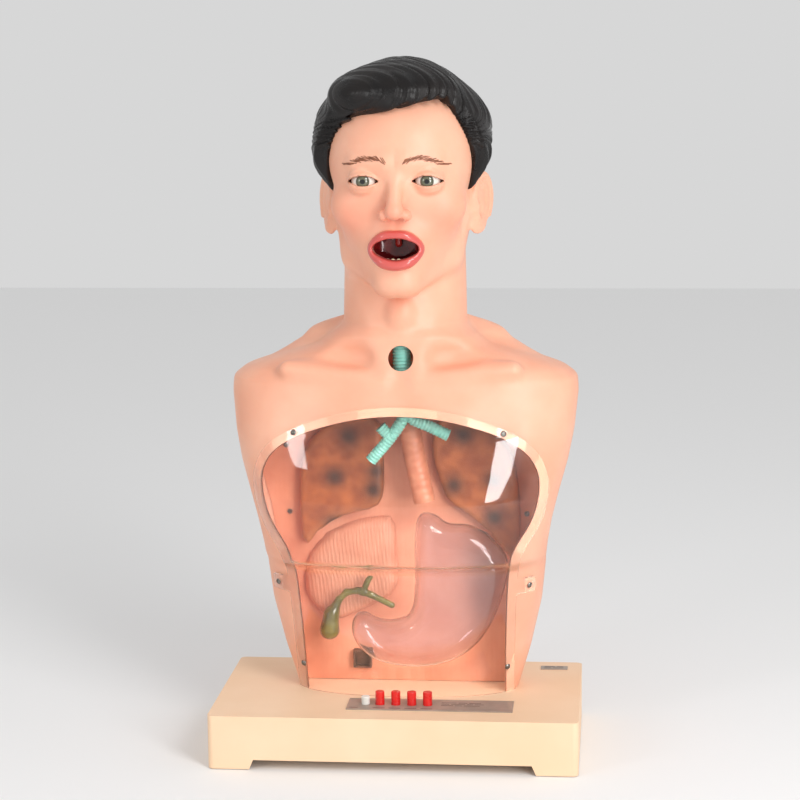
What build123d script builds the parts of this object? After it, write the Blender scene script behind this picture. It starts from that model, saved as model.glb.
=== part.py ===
from build123d import *
import os
from math import copysign, cos, pi, radians, sin

# Torso anatomy model for tube-feeding practice: a life-size head and chest on a moulded base.
# Origin: centre of the footprint, on the surface the base stands on. +Z up, the figure faces -Y, +X is
# the figure's own left. Figure heights are counted from the top of the base. Millimetres.
os.makedirs("parts", exist_ok=True)

# ---------------------------------------------------------------- driving sizes
# Base
base_width = 370.0
base_depth = 210.0
base_height = 55.3
base_wall = 3.0
base_corner = 6.0            # outside corner radius of the base
arch_height = 10.5           # gap under the front and back skirts
foot_width = 41.0            # corner foot, at the surface it stands on
foot_slant = 5.0             # how much wider each corner foot is at its top
skirt_lift = 0.8             # the skirt hangs this far clear, so only the rubber feet touch
floor_plate_thickness = 2.5
floor_plate_gap = 0.5        # floor plate to skirt wall
rubber_foot_radius = 9.0
rubber_foot_inset = 17.0     # foot centre from the outer faces
boss_radius = 5.0
floor_screw_radius = 1.8
floor_screw_head_radius = 3.4
floor_screw_head_height = 2.0

# Control panel and its buttons
panel_width = 167.5
panel_depth = 36.5
panel_thickness = 1.0
panel_centre = (35.0, -57.4)
button_radius = 4.65
button_height = 13.5         # above the panel
button_pitch = 16.1
button_count = 4
first_button_x = -16.0
button_row_y = -57.0
button_travel = 3.0
button_gap = 0.35            # button to the hole it slides in
flange_radius = 6.4
flange_height = 2.4
stem_radius = 2.0
power_button_height = 8.0
power_button_radius = 4.2
power_button_x = -30.6
switch_side = 12.0
switch_height = 12.0
board_thickness = 1.6
board_margin = 9.0
standoff_radius = 3.0
small_screw_radius = 1.25
small_screw_head_radius = 2.6
small_screw_head_height = 1.6
buzzer_radius = 11.0
buzzer_height = 9.0
plate_size = (28.4, 12.0, 0.8)
plate_centre = (155.9, 82.0)

# Battery box, on the floor plate
cell_radius = 7.2
cell_length = 50.0
cell_count = 4
cell_gap = 0.4
tray_wall = 1.6
tray_height = 17.0
tray_centre = (-70.0, 35.0)

# Figure
figure_x = 6.0               # the figure stands this far to +X of the base's centre
skin_wall = 3.0
head_wall = 3.0
cover_wall = 2.5
cover_gap = 0.4              # clear cover to the skin it laps over
cover_base_gap = 0.8         # clear cover to the base
cover_flange = 9.0           # how far the cover laps over the skin round the window
cover_screw_radius = 1.7
cover_screw_head_radius = 3.3
cover_screw_head_height = 1.8
neck_window_radius = 12.5
neck_window_height = 353.0
neck_window_offset = 2.0     # from the figure's middle
seam_height = 391.0          # head moulding meets torso moulding

# Organ panel
panel_face_y = 30.0
board_wall = 3.0
board_gap = 0.5              # organ panel to the skin inside
ledge_depth = 6.0
ledge_width = 12.0
board_top = 300.0
organ_depth = 16.0
liver_depth = 11.0

# Throat and tubes
tube_wall = 1.8
trachea_radius = 9.6
oesophagus_radius = 11.5
bronchus_radius = 6.2
stomach_wall = 1.6
duct_radius = 3.4
mouth_height = 464.0
mouth_half_width = 20.0
mouth_half_height = 12.0
nostril_radius = 3.7
nostril_spacing = 15.0
eye_radius = 12.5
eye_spacing = 62.0
eye_height = 529.0
eye_gap = 0.3

# Section tables: height over the base top, half width, front y, back y
torso_sections = [
    (0, 115, -29, 91), (45, 128, -38, 92), (95, 140, -50, 92), (134, 143, -60, 92),
    (150, 144, -80, 93), (185, 150, -92, 94), (213, 157, -92, 95), (245, 165, -86, 96),
    (275, 172, -77, 97), (313, 176, -62, 95), (328, 174, -55, 88), (338, 158, -50, 84),
    (349, 118, -47, 80), (361, 82, -46, 76), (376, 69, -46, 72), (seam_height, 64, -46, 70),
]
shoulder_from = 313          # above this the wall is kept by lowering the inner form, not only narrowing it
head_sections = [
    (seam_height, 64, -46, 70), (411, 63, -48, 73), (420, 61, -78, 75), (445, 65, -85, 80),
    (485, 72, -86, 90), (525, 77, -86, 95), (565, 81, -85, 96), (595, 80, -82, 95),
    (620, 70, -66, 84), (635, 54, -46, 66), (642, 30, -20, 40),
]
hair_side = 12.0
hair_front = 6.0
hair_back = 6.0
hair_top = 6.0
squareness = 2.5             # 2 is an ellipse; more is boxier
ring_points = 28

base_top = base_height
cavity_top = base_height - base_wall
floor_plate_z = arch_height + 0.5


# ---------------------------------------------------------------- helpers
def save(shape, name):
    export_step(Compound(children=list(shape.solids())), f"parts/{name}.step")


def ring(height, half_width, front, back, centre_x=figure_x):
    """Closed wire at a height over the base top."""
    centre_y = (front + back) / 2
    half_depth = (back - front) / 2
    points = []
    for k in range(ring_points):
        turn = 2 * pi * k / ring_points
        c = cos(turn)
        s = sin(turn)
        x = centre_x + half_width * copysign(abs(c) ** (2 / squareness), c)
        y = centre_y + half_depth * copysign(abs(s) ** (2 / squareness), s)
        points.append((x, y, base_top + height))
    return Wire(Polyline(*points, close=True))


def form(sections, grow=0.0):
    """Stack of rings, each grown (or shrunk) by the same distance."""
    rings = [ring(h, a + grow, f - grow, b + grow) for h, a, f, b in sections]
    return Solid.make_loft(rings, True)


def inner_form(wall, foot=-2.0, head=2.0):
    """The torso's inside, `wall` under its surface, open past both ends."""
    rows = []
    for h, a, f, b in torso_sections:
        drop = wall if shoulder_from <= h < seam_height else 0.0
        rows.append((h - drop, a - wall, f + wall, b - wall))
    first = rows[0]
    last = rows[-1]
    rows.insert(0, (foot, first[1], first[2], first[3]))
    rows.append((seam_height + head, last[1], last[2], last[3]))
    return Solid.make_loft([ring(*row) for row in rows], True)


def block(x0, x1, y0, y1, z0, z1):
    return Pos((x0 + x1) / 2, (y0 + y1) / 2, (z0 + z1) / 2) * Box(abs(x1 - x0), abs(y1 - y0), abs(z1 - z0))


def rod(x, y, z0, z1, radius):
    return Pos(x, y, (z0 + z1) / 2) * Cylinder(radius, abs(z1 - z0))


def rod_between(start, end, radius):
    a = Vector(*start)
    b = Vector(*end)
    plane = Plane(origin=a, z_dir=(b - a).normalized())
    return extrude(plane * Circle(radius), (b - a).length)


def outline_xz(points, y0, y1):
    """Front-view outline, pushed from y0 to y1. Heights are over the base top."""
    corners = [(figure_x + x, 0, base_top + h) for x, h in points]
    face = Pos(0, y1, 0) * Face(Wire(Spline(*corners, periodic=True)))
    return extrude(face, abs(y1 - y0), dir=(0, -1, 0))


def tube_chain(points, radius):
    """Round tube through points, with ball joints."""
    solid = Pos(*points[0]) * Sphere(radius)
    for start, end in zip(points, points[1:]):
        solid += rod_between(start, end, radius)
        solid += Pos(*end) * Sphere(radius)
    return solid


def screw(x, y, z, direction, shank, head_radius, head_height, radius):
    """Pan-head screw; (x, y, z) is under its head and `direction` is the way the head faces."""
    plane = Plane(origin=(x, y, z), z_dir=direction)
    head = extrude(plane * Circle(head_radius), head_height)
    body = extrude(plane * Circle(radius), -shank)
    return head + body


# ---------------------------------------------------------------- base
half_w = base_width / 2
half_d = base_depth / 2
foot_places = [(sx * (half_w - rubber_foot_inset), sy * (half_d - rubber_foot_inset))
               for sx in (-1, 1) for sy in (-1, 1)]
boss_places = [(sx * (half_w - 2.2 * rubber_foot_inset), sy * (half_d - 0.8 * rubber_foot_inset))
               for sx in (-1, 1) for sy in (-1, 1)]
button_x = [first_button_x + k * button_pitch for k in range(button_count)]
button_holes = [(x, button_row_y, button_radius) for x in button_x]
button_holes.append((power_button_x, button_row_y, power_button_radius))
bracket_spots = [(-62.0, 70.0), (62.0, 70.0), (-92.0, 48.0), (92.0, 48.0)]
bracket_feet = [(figure_x + x, y) for x, y in bracket_spots]

torso_screw_radius = 2.0
torso_screw_reach = 6.0


def make_base():
    outer = extrude(RectangleRounded(base_width, base_depth, base_corner), base_height)
    inside = extrude(RectangleRounded(base_width - 2 * base_wall, base_depth - 2 * base_wall,
                                      base_corner - base_wall + 0.5), cavity_top)
    shell = outer - inside - block(-half_w - 1, half_w + 1, -half_d - 1, half_d + 1, -1, skirt_lift)
    x_low = half_w - foot_width
    x_high = x_low - foot_slant
    arch = Polyline((-x_low, 0, -1), (-x_high, 0, arch_height), (x_high, 0, arch_height), (x_low, 0, -1),
                    close=True)
    cutter = extrude(Pos(0, half_d + 1, 0) * Face(Wire(arch)), base_depth + 2, dir=(0, -1, 0))
    shell -= cutter
    for x, y in boss_places:
        shell += rod(x, y, floor_plate_z + floor_plate_thickness, cavity_top + 0.5, boss_radius)
        shell -= rod(x, y, 0, cavity_top - 12, floor_screw_radius)
    for x, y, radius in button_holes:
        shell -= rod(x, y, cavity_top - 1, base_top + 1, radius + button_gap)
    for x, y in bracket_feet:
        shell -= rod(x, y, base_top - torso_screw_reach, base_top + 1, torso_screw_radius)
    return shell


def make_floor_plate():
    width = base_width - 2 * (base_wall + floor_plate_gap)
    depth = base_depth - 2 * (base_wall + floor_plate_gap)
    plate = Pos(0, 0, floor_plate_z) * extrude(RectangleRounded(width, depth, 2.5), floor_plate_thickness)
    for x, y in boss_places:
        plate -= rod(x, y, floor_plate_z - 1, floor_plate_z + floor_plate_thickness + 1, floor_screw_radius)
    return plate


def make_floor_screws():
    shank = floor_plate_thickness + 10
    screws = [screw(x, y, floor_plate_z, (0, 0, -1), shank, floor_screw_head_radius,
                    floor_screw_head_height, floor_screw_radius) for x, y in boss_places]
    return Compound(children=screws)


def make_rubber_feet():
    feet = [rod(x, y, 0, floor_plate_z, rubber_foot_radius) for x, y in foot_places]
    return Compound(children=feet)


# ---------------------------------------------------------------- control panel
panel_top = base_top + panel_thickness
flange_top = cavity_top - 0.3
stem_bottom = flange_top - flange_height - 5.0
board_x = (power_button_x - board_margin, button_x[-1] + board_margin + 34)
board_y = (button_row_y - 16, button_row_y + 16)
switch_top = flange_top - flange_height - button_travel - 1.2
board_top_z = switch_top - switch_height
standoff_places = [(x, y) for x in (board_x[0] + 5, board_x[1] - 5) for y in (board_y[0] + 5, board_y[1] - 5)]
buzzer_place = (board_x[1] - 20, button_row_y)


def make_panel():
    x, y = panel_centre
    plate = block(x - panel_width / 2, x + panel_width / 2, y - panel_depth / 2, y + panel_depth / 2,
                  base_top, panel_top)
    for hx, hy, radius in button_holes:
        plate -= rod(hx, hy, base_top - 1, panel_top + 1, radius + button_gap)
    return plate


def make_button(x, radius, height):
    cap = rod(x, button_row_y, flange_top - 0.5, panel_top + height, radius)
    cap = fillet(cap.edges().sort_by(Axis.Z)[-1], 0.8)
    cap += rod(x, button_row_y, flange_top - flange_height, flange_top, flange_radius)
    cap += rod(x, button_row_y, stem_bottom, flange_top - flange_height, stem_radius)
    return cap


def make_switches():
    bodies = []
    for hx, hy, _ in button_holes:
        half = switch_side / 2
        body = block(hx - half, hx + half, hy - half, hy + half, board_top_z, switch_top)
        bodies.append(body - rod(hx, hy, stem_bottom - button_travel - 0.5, switch_top + 1, stem_radius + 0.5))
    return Compound(children=bodies)


def make_board():
    board = block(board_x[0], board_x[1], board_y[0], board_y[1], board_top_z - board_thickness, board_top_z)
    for x, y in standoff_places:
        board -= rod(x, y, 0, base_top, small_screw_radius)
    return board


def make_standoffs():
    posts = []
    for x, y in standoff_places:
        post = rod(x, y, board_top_z, cavity_top, standoff_radius)
        posts.append(post - rod(x, y, board_top_z - 1, board_top_z + 6, small_screw_radius))
    return Compound(children=posts)


def make_board_screws():
    screws = [screw(x, y, board_top_z - board_thickness, (0, 0, -1), board_thickness + 5,
                    small_screw_head_radius, small_screw_head_height, small_screw_radius)
              for x, y in standoff_places]
    return Compound(children=screws)


def make_name_plate():
    x, y = plate_centre
    w, d, t = plate_size
    return block(x - w / 2, x + w / 2, y - d / 2, y + d / 2, base_top, base_top + t)


# ---------------------------------------------------------------- batteries
tray_floor_z = floor_plate_z + floor_plate_thickness
cell_step = 2 * cell_radius + cell_gap
tray_length = cell_length + 2 * (tray_wall + cell_gap)
tray_width = cell_count * cell_step + 2 * tray_wall + cell_gap


def make_tray():
    x, y = tray_centre
    outer = block(x - tray_length / 2, x + tray_length / 2, y - tray_width / 2, y + tray_width / 2,
                  tray_floor_z, tray_floor_z + tray_height)
    w = tray_wall
    return outer - block(x - tray_length / 2 + w, x + tray_length / 2 - w, y - tray_width / 2 + w,
                         y + tray_width / 2 - w, tray_floor_z + w, tray_floor_z + tray_height + 1)


def make_cells():
    x, y = tray_centre
    z = tray_floor_z + tray_wall + cell_radius + 0.1
    cells = []
    for k in range(cell_count):
        cy = y + (k - (cell_count - 1) / 2) * cell_step
        cells.append(rod_between((x - cell_length / 2, cy, z), (x + cell_length / 2, cy, z), cell_radius))
    return Compound(children=cells)


# ---------------------------------------------------------------- skin and cover
# Outer edge of the clear cover, seen from the front: half width and height over the base top
cover_edge = [(112, -20), (112, 30), (114, 95), (117, 140), (122, 160), (141, 188), (149, 220), (147, 245),
              (133, 269), (101, 288), (52, 303), (0, 308)]
tab_height = 119.0
tab_reach = 134.0
tab_half = 8.0


def cover_outline(inset):
    """Front-view face of the cover's edge, or of the window when inset."""
    right = [(x - inset, h - (inset if h > 100 else 0)) for x, h in cover_edge[:-1]]
    top = (0, cover_edge[-1][1] - inset)
    left = [(-x, h) for x, h in reversed(right)]
    points = [(figure_x + x, 0, base_top + h) for x, h in right + [top] + left]
    return Face(Wire(Polyline(*points, close=True)))


def front_prism(inset, back_y):
    face = Pos(0, back_y, 0) * cover_outline(inset)
    return extrude(face, back_y + half_d + 20, dir=(0, -1, 0))


def neck_window():
    start = (figure_x + neck_window_offset, -90, base_top + neck_window_height)
    return rod_between(start, (start[0], -20, start[2]), neck_window_radius)


def surface_y(x_off, height, grow=0.0):
    """Front y of the torso's surface at a distance from its middle."""
    rows = torso_sections
    for low, high in zip(rows, rows[1:]):
        if low[0] <= height <= high[0]:
            share = (height - low[0]) / (high[0] - low[0])
            a, f, b = [low[i] + share * (high[i] - low[i]) for i in (1, 2, 3)]
            half = (b - f) / 2 + grow
            ratio = min(abs(x_off) / (a + grow), 0.999)
            return (f + b) / 2 - half * (1 - ratio ** squareness) ** (1 / squareness)
    raise ValueError("height outside the torso")


cover_screw_spots = [(-104, 281), (104, 281), (-128, tab_height), (128, tab_height), (-105, 30), (105, 30)]


def cover_screw_frame(x_off, height):
    """Place and outward direction of a cover screw, on the cover's outer face."""
    grow = cover_gap + cover_wall
    y = surface_y(x_off, height, grow)
    step = 2.0
    slope_x = (surface_y(x_off + step, height, grow) - surface_y(x_off - step, height, grow)) / (2 * step)
    slope_z = (surface_y(x_off, height + step, grow) - surface_y(x_off, height - step, grow)) / (2 * step)
    normal = Vector(slope_x, -1, slope_z).normalized()
    return Vector(figure_x + x_off, y, base_top + height), normal


torso_outer = form(torso_sections)
torso_inner = inner_form(skin_wall)


def make_torso_skin():
    skin = torso_outer - torso_inner - front_prism(cover_flange, panel_face_y) - neck_window()
    for x_off, height in cover_screw_spots:
        place, normal = cover_screw_frame(x_off, height)
        skin -= rod_between(place - normal * 12, place + normal * 2, cover_screw_radius)
    return skin


def make_cover():
    shell = form(torso_sections[:11], cover_gap + cover_wall) - form(torso_sections[:11], cover_gap)
    region = front_prism(0, panel_face_y)
    tabs = block(figure_x - tab_reach, figure_x + tab_reach, -half_d, 20,
                 base_top + tab_height - tab_half, base_top + tab_height + tab_half)
    cover = shell & (region + tabs)
    cover -= block(-300, 300, -300, 300, 0, base_top + cover_base_gap)
    for x_off, height in cover_screw_spots:
        place, normal = cover_screw_frame(x_off, height)
        cover -= rod_between(place - normal * 12, place + normal * 6, cover_screw_radius)
    return cover


def make_cover_screws():
    screws = []
    for x_off, height in cover_screw_spots:
        place, normal = cover_screw_frame(x_off, height)
        seat = place + normal * 0.9
        screws.append(screw(seat.X, seat.Y, seat.Z, (normal.X, normal.Y, normal.Z), cover_wall + 0.6,
                            cover_screw_head_radius, cover_screw_head_height, cover_screw_radius))
    return Compound(children=screws)


def make_brackets():
    leg_zone = torso_inner - inner_form(skin_wall + 2)
    parts = []
    for x, y in bracket_feet:
        sideways = abs(x - figure_x) > 80
        reach_x = 40 if sideways else 0
        reach_y = 0 if sideways else 40
        outward = 1 if x > figure_x else -1
        x_low = min(x - 8, x + outward * reach_x - 8)
        x_high = max(x + 8, x + outward * reach_x + 8)
        zone = block(x_low, x_high, y - 8, y + 8 + reach_y, base_top, base_top + 26)
        leg = leg_zone & zone
        foot = block(x_low, x_high, y - 8, y + 8 + reach_y, base_top, base_top + 2) & torso_inner
        piece = leg + foot - rod(x, y, base_top - 1, base_top + 3, torso_screw_radius)
        parts.append(piece)
    return Compound(children=[s for p in parts for s in p.solids()])


def make_torso_screws():
    screws = [screw(x, y, base_top + 2, (0, 0, 1), torso_screw_reach + 2, 3.8, 2.2, torso_screw_radius)
              for x, y in bracket_feet]
    return Compound(children=screws)


# ---------------------------------------------------------------- organ panel
board_form = inner_form(skin_wall + board_gap)
ledge_screws = [(sx * (118 + 0.03 * h), h) for sx in (-1, 1) for h in (90, 180, 250)]


def make_organ_panel():
    slab = block(-half_w, half_w, panel_face_y, panel_face_y + board_wall, base_top + 0.5, base_top + board_top)
    board = board_form & slab
    for x, h in ledge_screws:
        board -= rod_between((figure_x + x, panel_face_y - 1, base_top + h),
                             (figure_x + x, panel_face_y + board_wall + 1, base_top + h), small_screw_radius)
    return board


def make_ledge():
    low = panel_face_y + board_wall
    slab = block(-half_w, half_w, low, low + ledge_depth, base_top + 30, base_top + board_top - 25)
    ledge = (torso_inner - inner_form(skin_wall + ledge_width)) & slab
    for x, h in ledge_screws:
        ledge -= rod_between((figure_x + x, low - 1, base_top + h), (figure_x + x, low + 5, base_top + h),
                             small_screw_radius)
    return ledge


def make_ledge_screws():
    screws = []
    for x, h in ledge_screws:
        screws.append(screw(figure_x + x, panel_face_y, base_top + h, (0, -1, 0), board_wall + 5,
                            small_screw_head_radius, small_screw_head_height, small_screw_radius))
    return Compound(children=screws)


# Organ outlines, seen from the front: distance from the figure's middle, height over the base top
lung_right_outline = [(-26, 282), (-62, 284), (-94, 266), (-109, 240), (-112, 195), (-109, 142),
                      (-86, 168), (-60, 181), (-32, 186), (-24, 200), (-24, 240)]
lung_left_outline = [(27, 282), (62, 284), (95, 266), (110, 240), (116, 200), (117, 160), (112, 127),
                     (92, 154), (68, 178), (42, 194), (34, 215), (26, 240)]
liver_outline = [(-108, 88), (-109, 120), (-100, 142), (-84, 158), (-60, 171), (-32, 177), (-14, 176),
                 (-11, 140), (-11, 96), (-40, 80), (-80, 62)]


def relief(points, depth):
    return outline_xz(points, panel_face_y - depth, panel_face_y) & board_form


# Stomach seen from the front: distance from the figure's middle, height over the base top
stomach_outline = [(12, 189), (31, 189), (44, 177), (66, 178), (88, 166), (104, 148), (107, 130), (101, 104),
                   (90, 74), (74, 50), (50, 33), (22, 26), (-6, 26), (-32, 32), (-50, 46), (-58, 66),
                   (-52, 84), (-40, 85), (-28, 77), (-10, 76), (7, 84), (10, 120), (9, 155)]
stomach_gap = 0.5
stomach_front = -28.0
stomach_middle = (40.0, 100.0)
stomach_reach = 50.0         # narrowest distance from its middle to its edge
stomach_back = panel_face_y - organ_depth - stomach_gap


def make_stomach():
    edge = [(figure_x + x, 0, base_top + h) for x, h in stomach_outline]
    face = Face(Wire(Spline(*edge, periodic=True)))
    body = extrude(Pos(0, stomach_back, 0) * face, stomach_back - stomach_front, dir=(0, -1, 0))
    middle = (figure_x + stomach_middle[0], 0, base_top + stomach_middle[1])
    share = 1 - stomach_wall / stomach_reach
    inside = [(middle[0] + (x - middle[0]) * share, 0, middle[2] + (z - middle[2]) * share) for x, _, z in edge]
    core = Face(Wire(Spline(*inside, periodic=True)))
    depth = stomach_back - stomach_front - 2 * stomach_wall
    hollow = extrude(Pos(0, stomach_back - stomach_wall, 0) * core, depth, dir=(0, -1, 0))
    return body - hollow


# Throat, from the nose and mouth down
throat_x = figure_x + 1
trachea_y = -31.5
oesophagus_y = 2.0
trachea_line = [(throat_x, trachea_y, 391.5), (throat_x, trachea_y, 345), (throat_x + 4, trachea_y, 300)]
oesophagus_line = [(throat_x, oesophagus_y, 391.5), (throat_x, oesophagus_y, 340), (throat_x + 6, 3, 262),
                   (figure_x + 20, 0, 197)]
carina = (throat_x + 4, trachea_y, 291)
bronchi_right = [carina, (throat_x - 12, -31, 270), (throat_x - 32, -29, 246)]
bronchi_left = [carina, (throat_x + 26, -31, 282), (throat_x + 46, -29, 272)]


def lifted(points):
    return [(x, y, base_top + h) for x, y, h in points]


def bent_tube(points, radius, wall):
    """Hollow tube along straight runs joined by arcs."""
    path = FilletPolyline(*lifted(points), radius=60.0) if len(points) > 2 else Polyline(*lifted(points))
    start = Plane(origin=path @ 0, z_dir=path % 0)
    outer = sweep(start * Circle(radius), path=path)
    inner = sweep(start * Circle(radius - wall), path=path)
    return outer - inner


def make_bronchi():
    right = tube_chain(lifted(bronchi_right), bronchus_radius)
    left = tube_chain(lifted(bronchi_left), bronchus_radius)
    stub = tube_chain(lifted([bronchi_right[1], (throat_x - 22, -32, 281)]), bronchus_radius - 1)
    collar = rod_between(lifted([carina])[0], lifted([(carina[0], carina[1], 299)])[0], trachea_radius)
    return right + left + stub + collar


throat_low = 392.0
throat_high = 488.0
throat_wall = 2.0
throat_size = (30.0, 54.0, 8.0)      # across, deep, corner radius
throat_y = -15.0
mouth_z = base_top + mouth_height


def throat_body(shrink, low, high):
    across, deep, corner = throat_size
    sketch = RectangleRounded(across - 2 * shrink, deep - 2 * shrink, corner - shrink)
    return Pos(throat_x, throat_y, base_top + low) * extrude(sketch, high - low)


def make_throat():
    shell = throat_body(0, throat_low, throat_high)
    shell -= throat_body(throat_wall, throat_low + throat_wall, throat_high + 1)
    for y, radius in ((trachea_y, trachea_radius), (oesophagus_y, oesophagus_radius)):
        shell -= rod(throat_x, y, base_top + throat_low - 1, base_top + throat_low + 5, radius - tube_wall)
    return shell - block(throat_x - 10, throat_x + 10, throat_y - 40, throat_y, mouth_z - 9, mouth_z + 9)


# ---------------------------------------------------------------- head
liner_front = -76.0
liner_size = (50.0, 36.0, 6.0)      # across, high, corner radius
liner_wall = 1.6
liner_gap = 0.4
# Side view of the nose: y, height over the base top
nose_side = [(-80, 545), (-86, 545), (-104, 503), (-86, 497), (-80, 497)]
nose_half_width = 13.0
nostril_y = -93.5
nostril_turn = 508.0
ear_height = 497.0
ear_size = (60.0, 30.0)
ear_y = 10.0
ear_inside = 66.0
ear_outside = 93.0


def head_form(shrink):
    rows = [(h - (shrink if h > 600 else 0), a - shrink, f + shrink, b - shrink) for h, a, f, b in head_sections]
    if shrink:
        rows.insert(0, (seam_height - 2, rows[0][1], rows[0][2], rows[0][3]))
    return Solid.make_loft([ring(*row) for row in rows], True)


def eye_place(side):
    return (throat_x + side * eye_spacing / 2, -71.0, base_top + eye_height)


def ear(side, grow):
    slot = SlotOverall(ear_size[0] + 2 * grow, ear_size[1] + 2 * grow)
    plane = Plane(origin=(throat_x + side * ear_inside, ear_y, base_top + ear_height), x_dir=(0, 0, 1),
                  z_dir=(side, 0, 0))
    return extrude(plane * slot, ear_outside - ear_inside + grow)


head_outer = head_form(0)


def make_head():
    side = [(throat_x - nose_half_width, y, base_top + h) for y, h in nose_side]
    nose = extrude(Face(Wire(Polyline(*side, close=True))), 2 * nose_half_width, dir=(1, 0, 0))
    solid = head_outer + nose + ear(-1, 0) + ear(1, 0)
    solid -= head_form(head_wall)
    mouth = Plane(origin=(throat_x, -120, mouth_z), x_dir=(1, 0, 0), z_dir=(0, 1, 0))
    solid -= extrude(mouth * Ellipse(mouth_half_width, mouth_half_height), 60)
    for s in (-1, 1):
        x = throat_x + s * nostril_spacing / 2
        turn = base_top + nostril_turn
        solid -= rod(x, nostril_y, base_top + 480, turn + 5, nostril_radius)
        solid -= rod_between((x, nostril_y, turn), (x, -70, turn), nostril_radius - 0.2)
        solid -= Pos(*eye_place(s)) * Sphere(eye_radius + eye_gap)
    return solid


def make_hair():
    rows = [(h, a + hair_side, f - hair_front, b + hair_back) for h, a, f, b in head_sections[3:]]
    rows[-1] = (head_sections[-1][0] + hair_top, 34, -24, 44)
    outer = Solid.make_loft([ring(*row) for row in rows], True)
    line = [(-110, 594), (-74, 592), (-66, 524), (-52, 516), (-44, 542), (-18, 548), (12, 545), (30, 520),
            (44, 475), (60, 450), (120, 446), (120, 665), (-110, 665)]
    points = [(-half_w, y, base_top + h) for y, h in line]
    region = extrude(Face(Wire(Polyline(*points, close=True))), base_width, dir=(1, 0, 0))
    return (outer & region) - head_outer - ear(-1, 1) - ear(1, 1)


def liner_body(shrink, front, back):
    across, high, corner = liner_size
    plane = Plane(origin=(throat_x, front, mouth_z), x_dir=(1, 0, 0), z_dir=(0, 1, 0))
    return extrude(plane * RectangleRounded(across - 2 * shrink, high - 2 * shrink, corner - shrink), back - front)


def make_liner():
    back = throat_y - throat_size[1] / 2 - liner_gap
    cup = liner_body(0, liner_front, back) - liner_body(liner_wall, liner_front - 1, back - liner_wall)
    return cup - block(throat_x - 10, throat_x + 10, back - 5, back + 5, mouth_z - 9, mouth_z + 9)


def make_teeth(upper):
    arch = Cylinder(20.5, 6) - Cylinder(17, 7) - block(-60, 60, 0, 40, -10, 10)
    height = 12.5 if upper else -12.5
    return Pos(throat_x, -60, mouth_z + height) * arch


def make_tongue():
    slab = extrude(RectangleRounded(24, 26, 10), 5)
    return Pos(throat_x, -58, mouth_z - liner_size[1] / 2 + liner_wall) * slab


def make_uvula():
    top = mouth_z + liner_size[1] / 2 - liner_wall
    return Pos(throat_x, -48, top - 11) * Sphere(3.2) + rod(throat_x, -48, top - 11, top, 2.4)


# ---------------------------------------------------------------- gallbladder and drain
def make_gallbladder():
    y = 4.0
    body = tube_chain([(figure_x - 80, y, base_top + 61), (figure_x - 78, y, base_top + 76)], 10.5)
    neck = tube_chain([(figure_x - 78, y, base_top + 82), (figure_x - 66, y, base_top + 99),
                       (figure_x - 50, y, base_top + 103), (figure_x - 37, y, base_top + 99),
                       (figure_x - 15, y, base_top + 88)], duct_radius)
    hepatic = tube_chain([(figure_x - 43, y, base_top + 101), (figure_x - 37, y, base_top + 120)], duct_radius)
    return body + neck + hepatic


drain_side = 19.0
drain_depth = 8.0
drain_wall = 2.0
drain_corner = (-58.0, 15.0)        # from the figure's middle and over the base top


def make_drain():
    x = figure_x + drain_corner[0]
    z = base_top + drain_corner[1]
    w = drain_wall
    outer = block(x, x + drain_side, panel_face_y - drain_depth, panel_face_y, z, z + drain_side)
    return outer - block(x + w, x + drain_side - w, panel_face_y - drain_depth - 1, panel_face_y - w, z + w,
                         z + drain_side - w)


# ---------------------------------------------------------------- build and save
nodes = {
    "base_housing": make_base(),
    "base_floor_plate": make_floor_plate(),
    "floor_screws": make_floor_screws(),
    "rubber_feet": make_rubber_feet(),
    "control_panel": make_panel(),
    "name_plate": make_name_plate(),
    "power_button": make_button(power_button_x, power_button_radius, power_button_height),
    "key_switches": make_switches(),
    "control_board": make_board(),
    "board_standoffs": make_standoffs(),
    "board_screws": make_board_screws(),
    "buzzer": rod(*buzzer_place, board_top_z, board_top_z + buzzer_height, buzzer_radius),
    "battery_tray": make_tray(),
    "battery_cells": make_cells(),
    "torso_skin": make_torso_skin(),
    "torso_brackets": make_brackets(),
    "torso_screws": make_torso_screws(),
    "head_skin": make_head(),
    "hair_cap": make_hair(),
    "eye_right": Pos(*eye_place(-1)) * Sphere(eye_radius),
    "eye_left": Pos(*eye_place(1)) * Sphere(eye_radius),
    "mouth_liner": make_liner(),
    "teeth_upper": make_teeth(True),
    "teeth_lower": make_teeth(False),
    "tongue": make_tongue(),
    "uvula": make_uvula(),
    "throat": make_throat(),
    "trachea": bent_tube(trachea_line, trachea_radius, tube_wall),
    "bronchi": make_bronchi(),
    "oesophagus": bent_tube(oesophagus_line, oesophagus_radius, tube_wall),
    "organ_panel": make_organ_panel(),
    "panel_ledge": make_ledge(),
    "panel_screws": make_ledge_screws(),
    "lung_right": relief(lung_right_outline, organ_depth),
    "lung_left": relief(lung_left_outline, organ_depth),
    "liver": relief(liver_outline, liver_depth),
    "stomach": make_stomach(),
    "gallbladder": make_gallbladder(),
    "drain_port": make_drain(),
    "clear_cover": make_cover(),
    "cover_screws": make_cover_screws(),
}
for number, x in enumerate(button_x, start=1):
    nodes[f"button_{number}"] = make_button(x, button_radius, button_height)
for name, shape in nodes.items():
    save(shape, name)
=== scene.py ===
import bpy
import math
import numpy as np
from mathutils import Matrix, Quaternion, Vector


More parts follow.
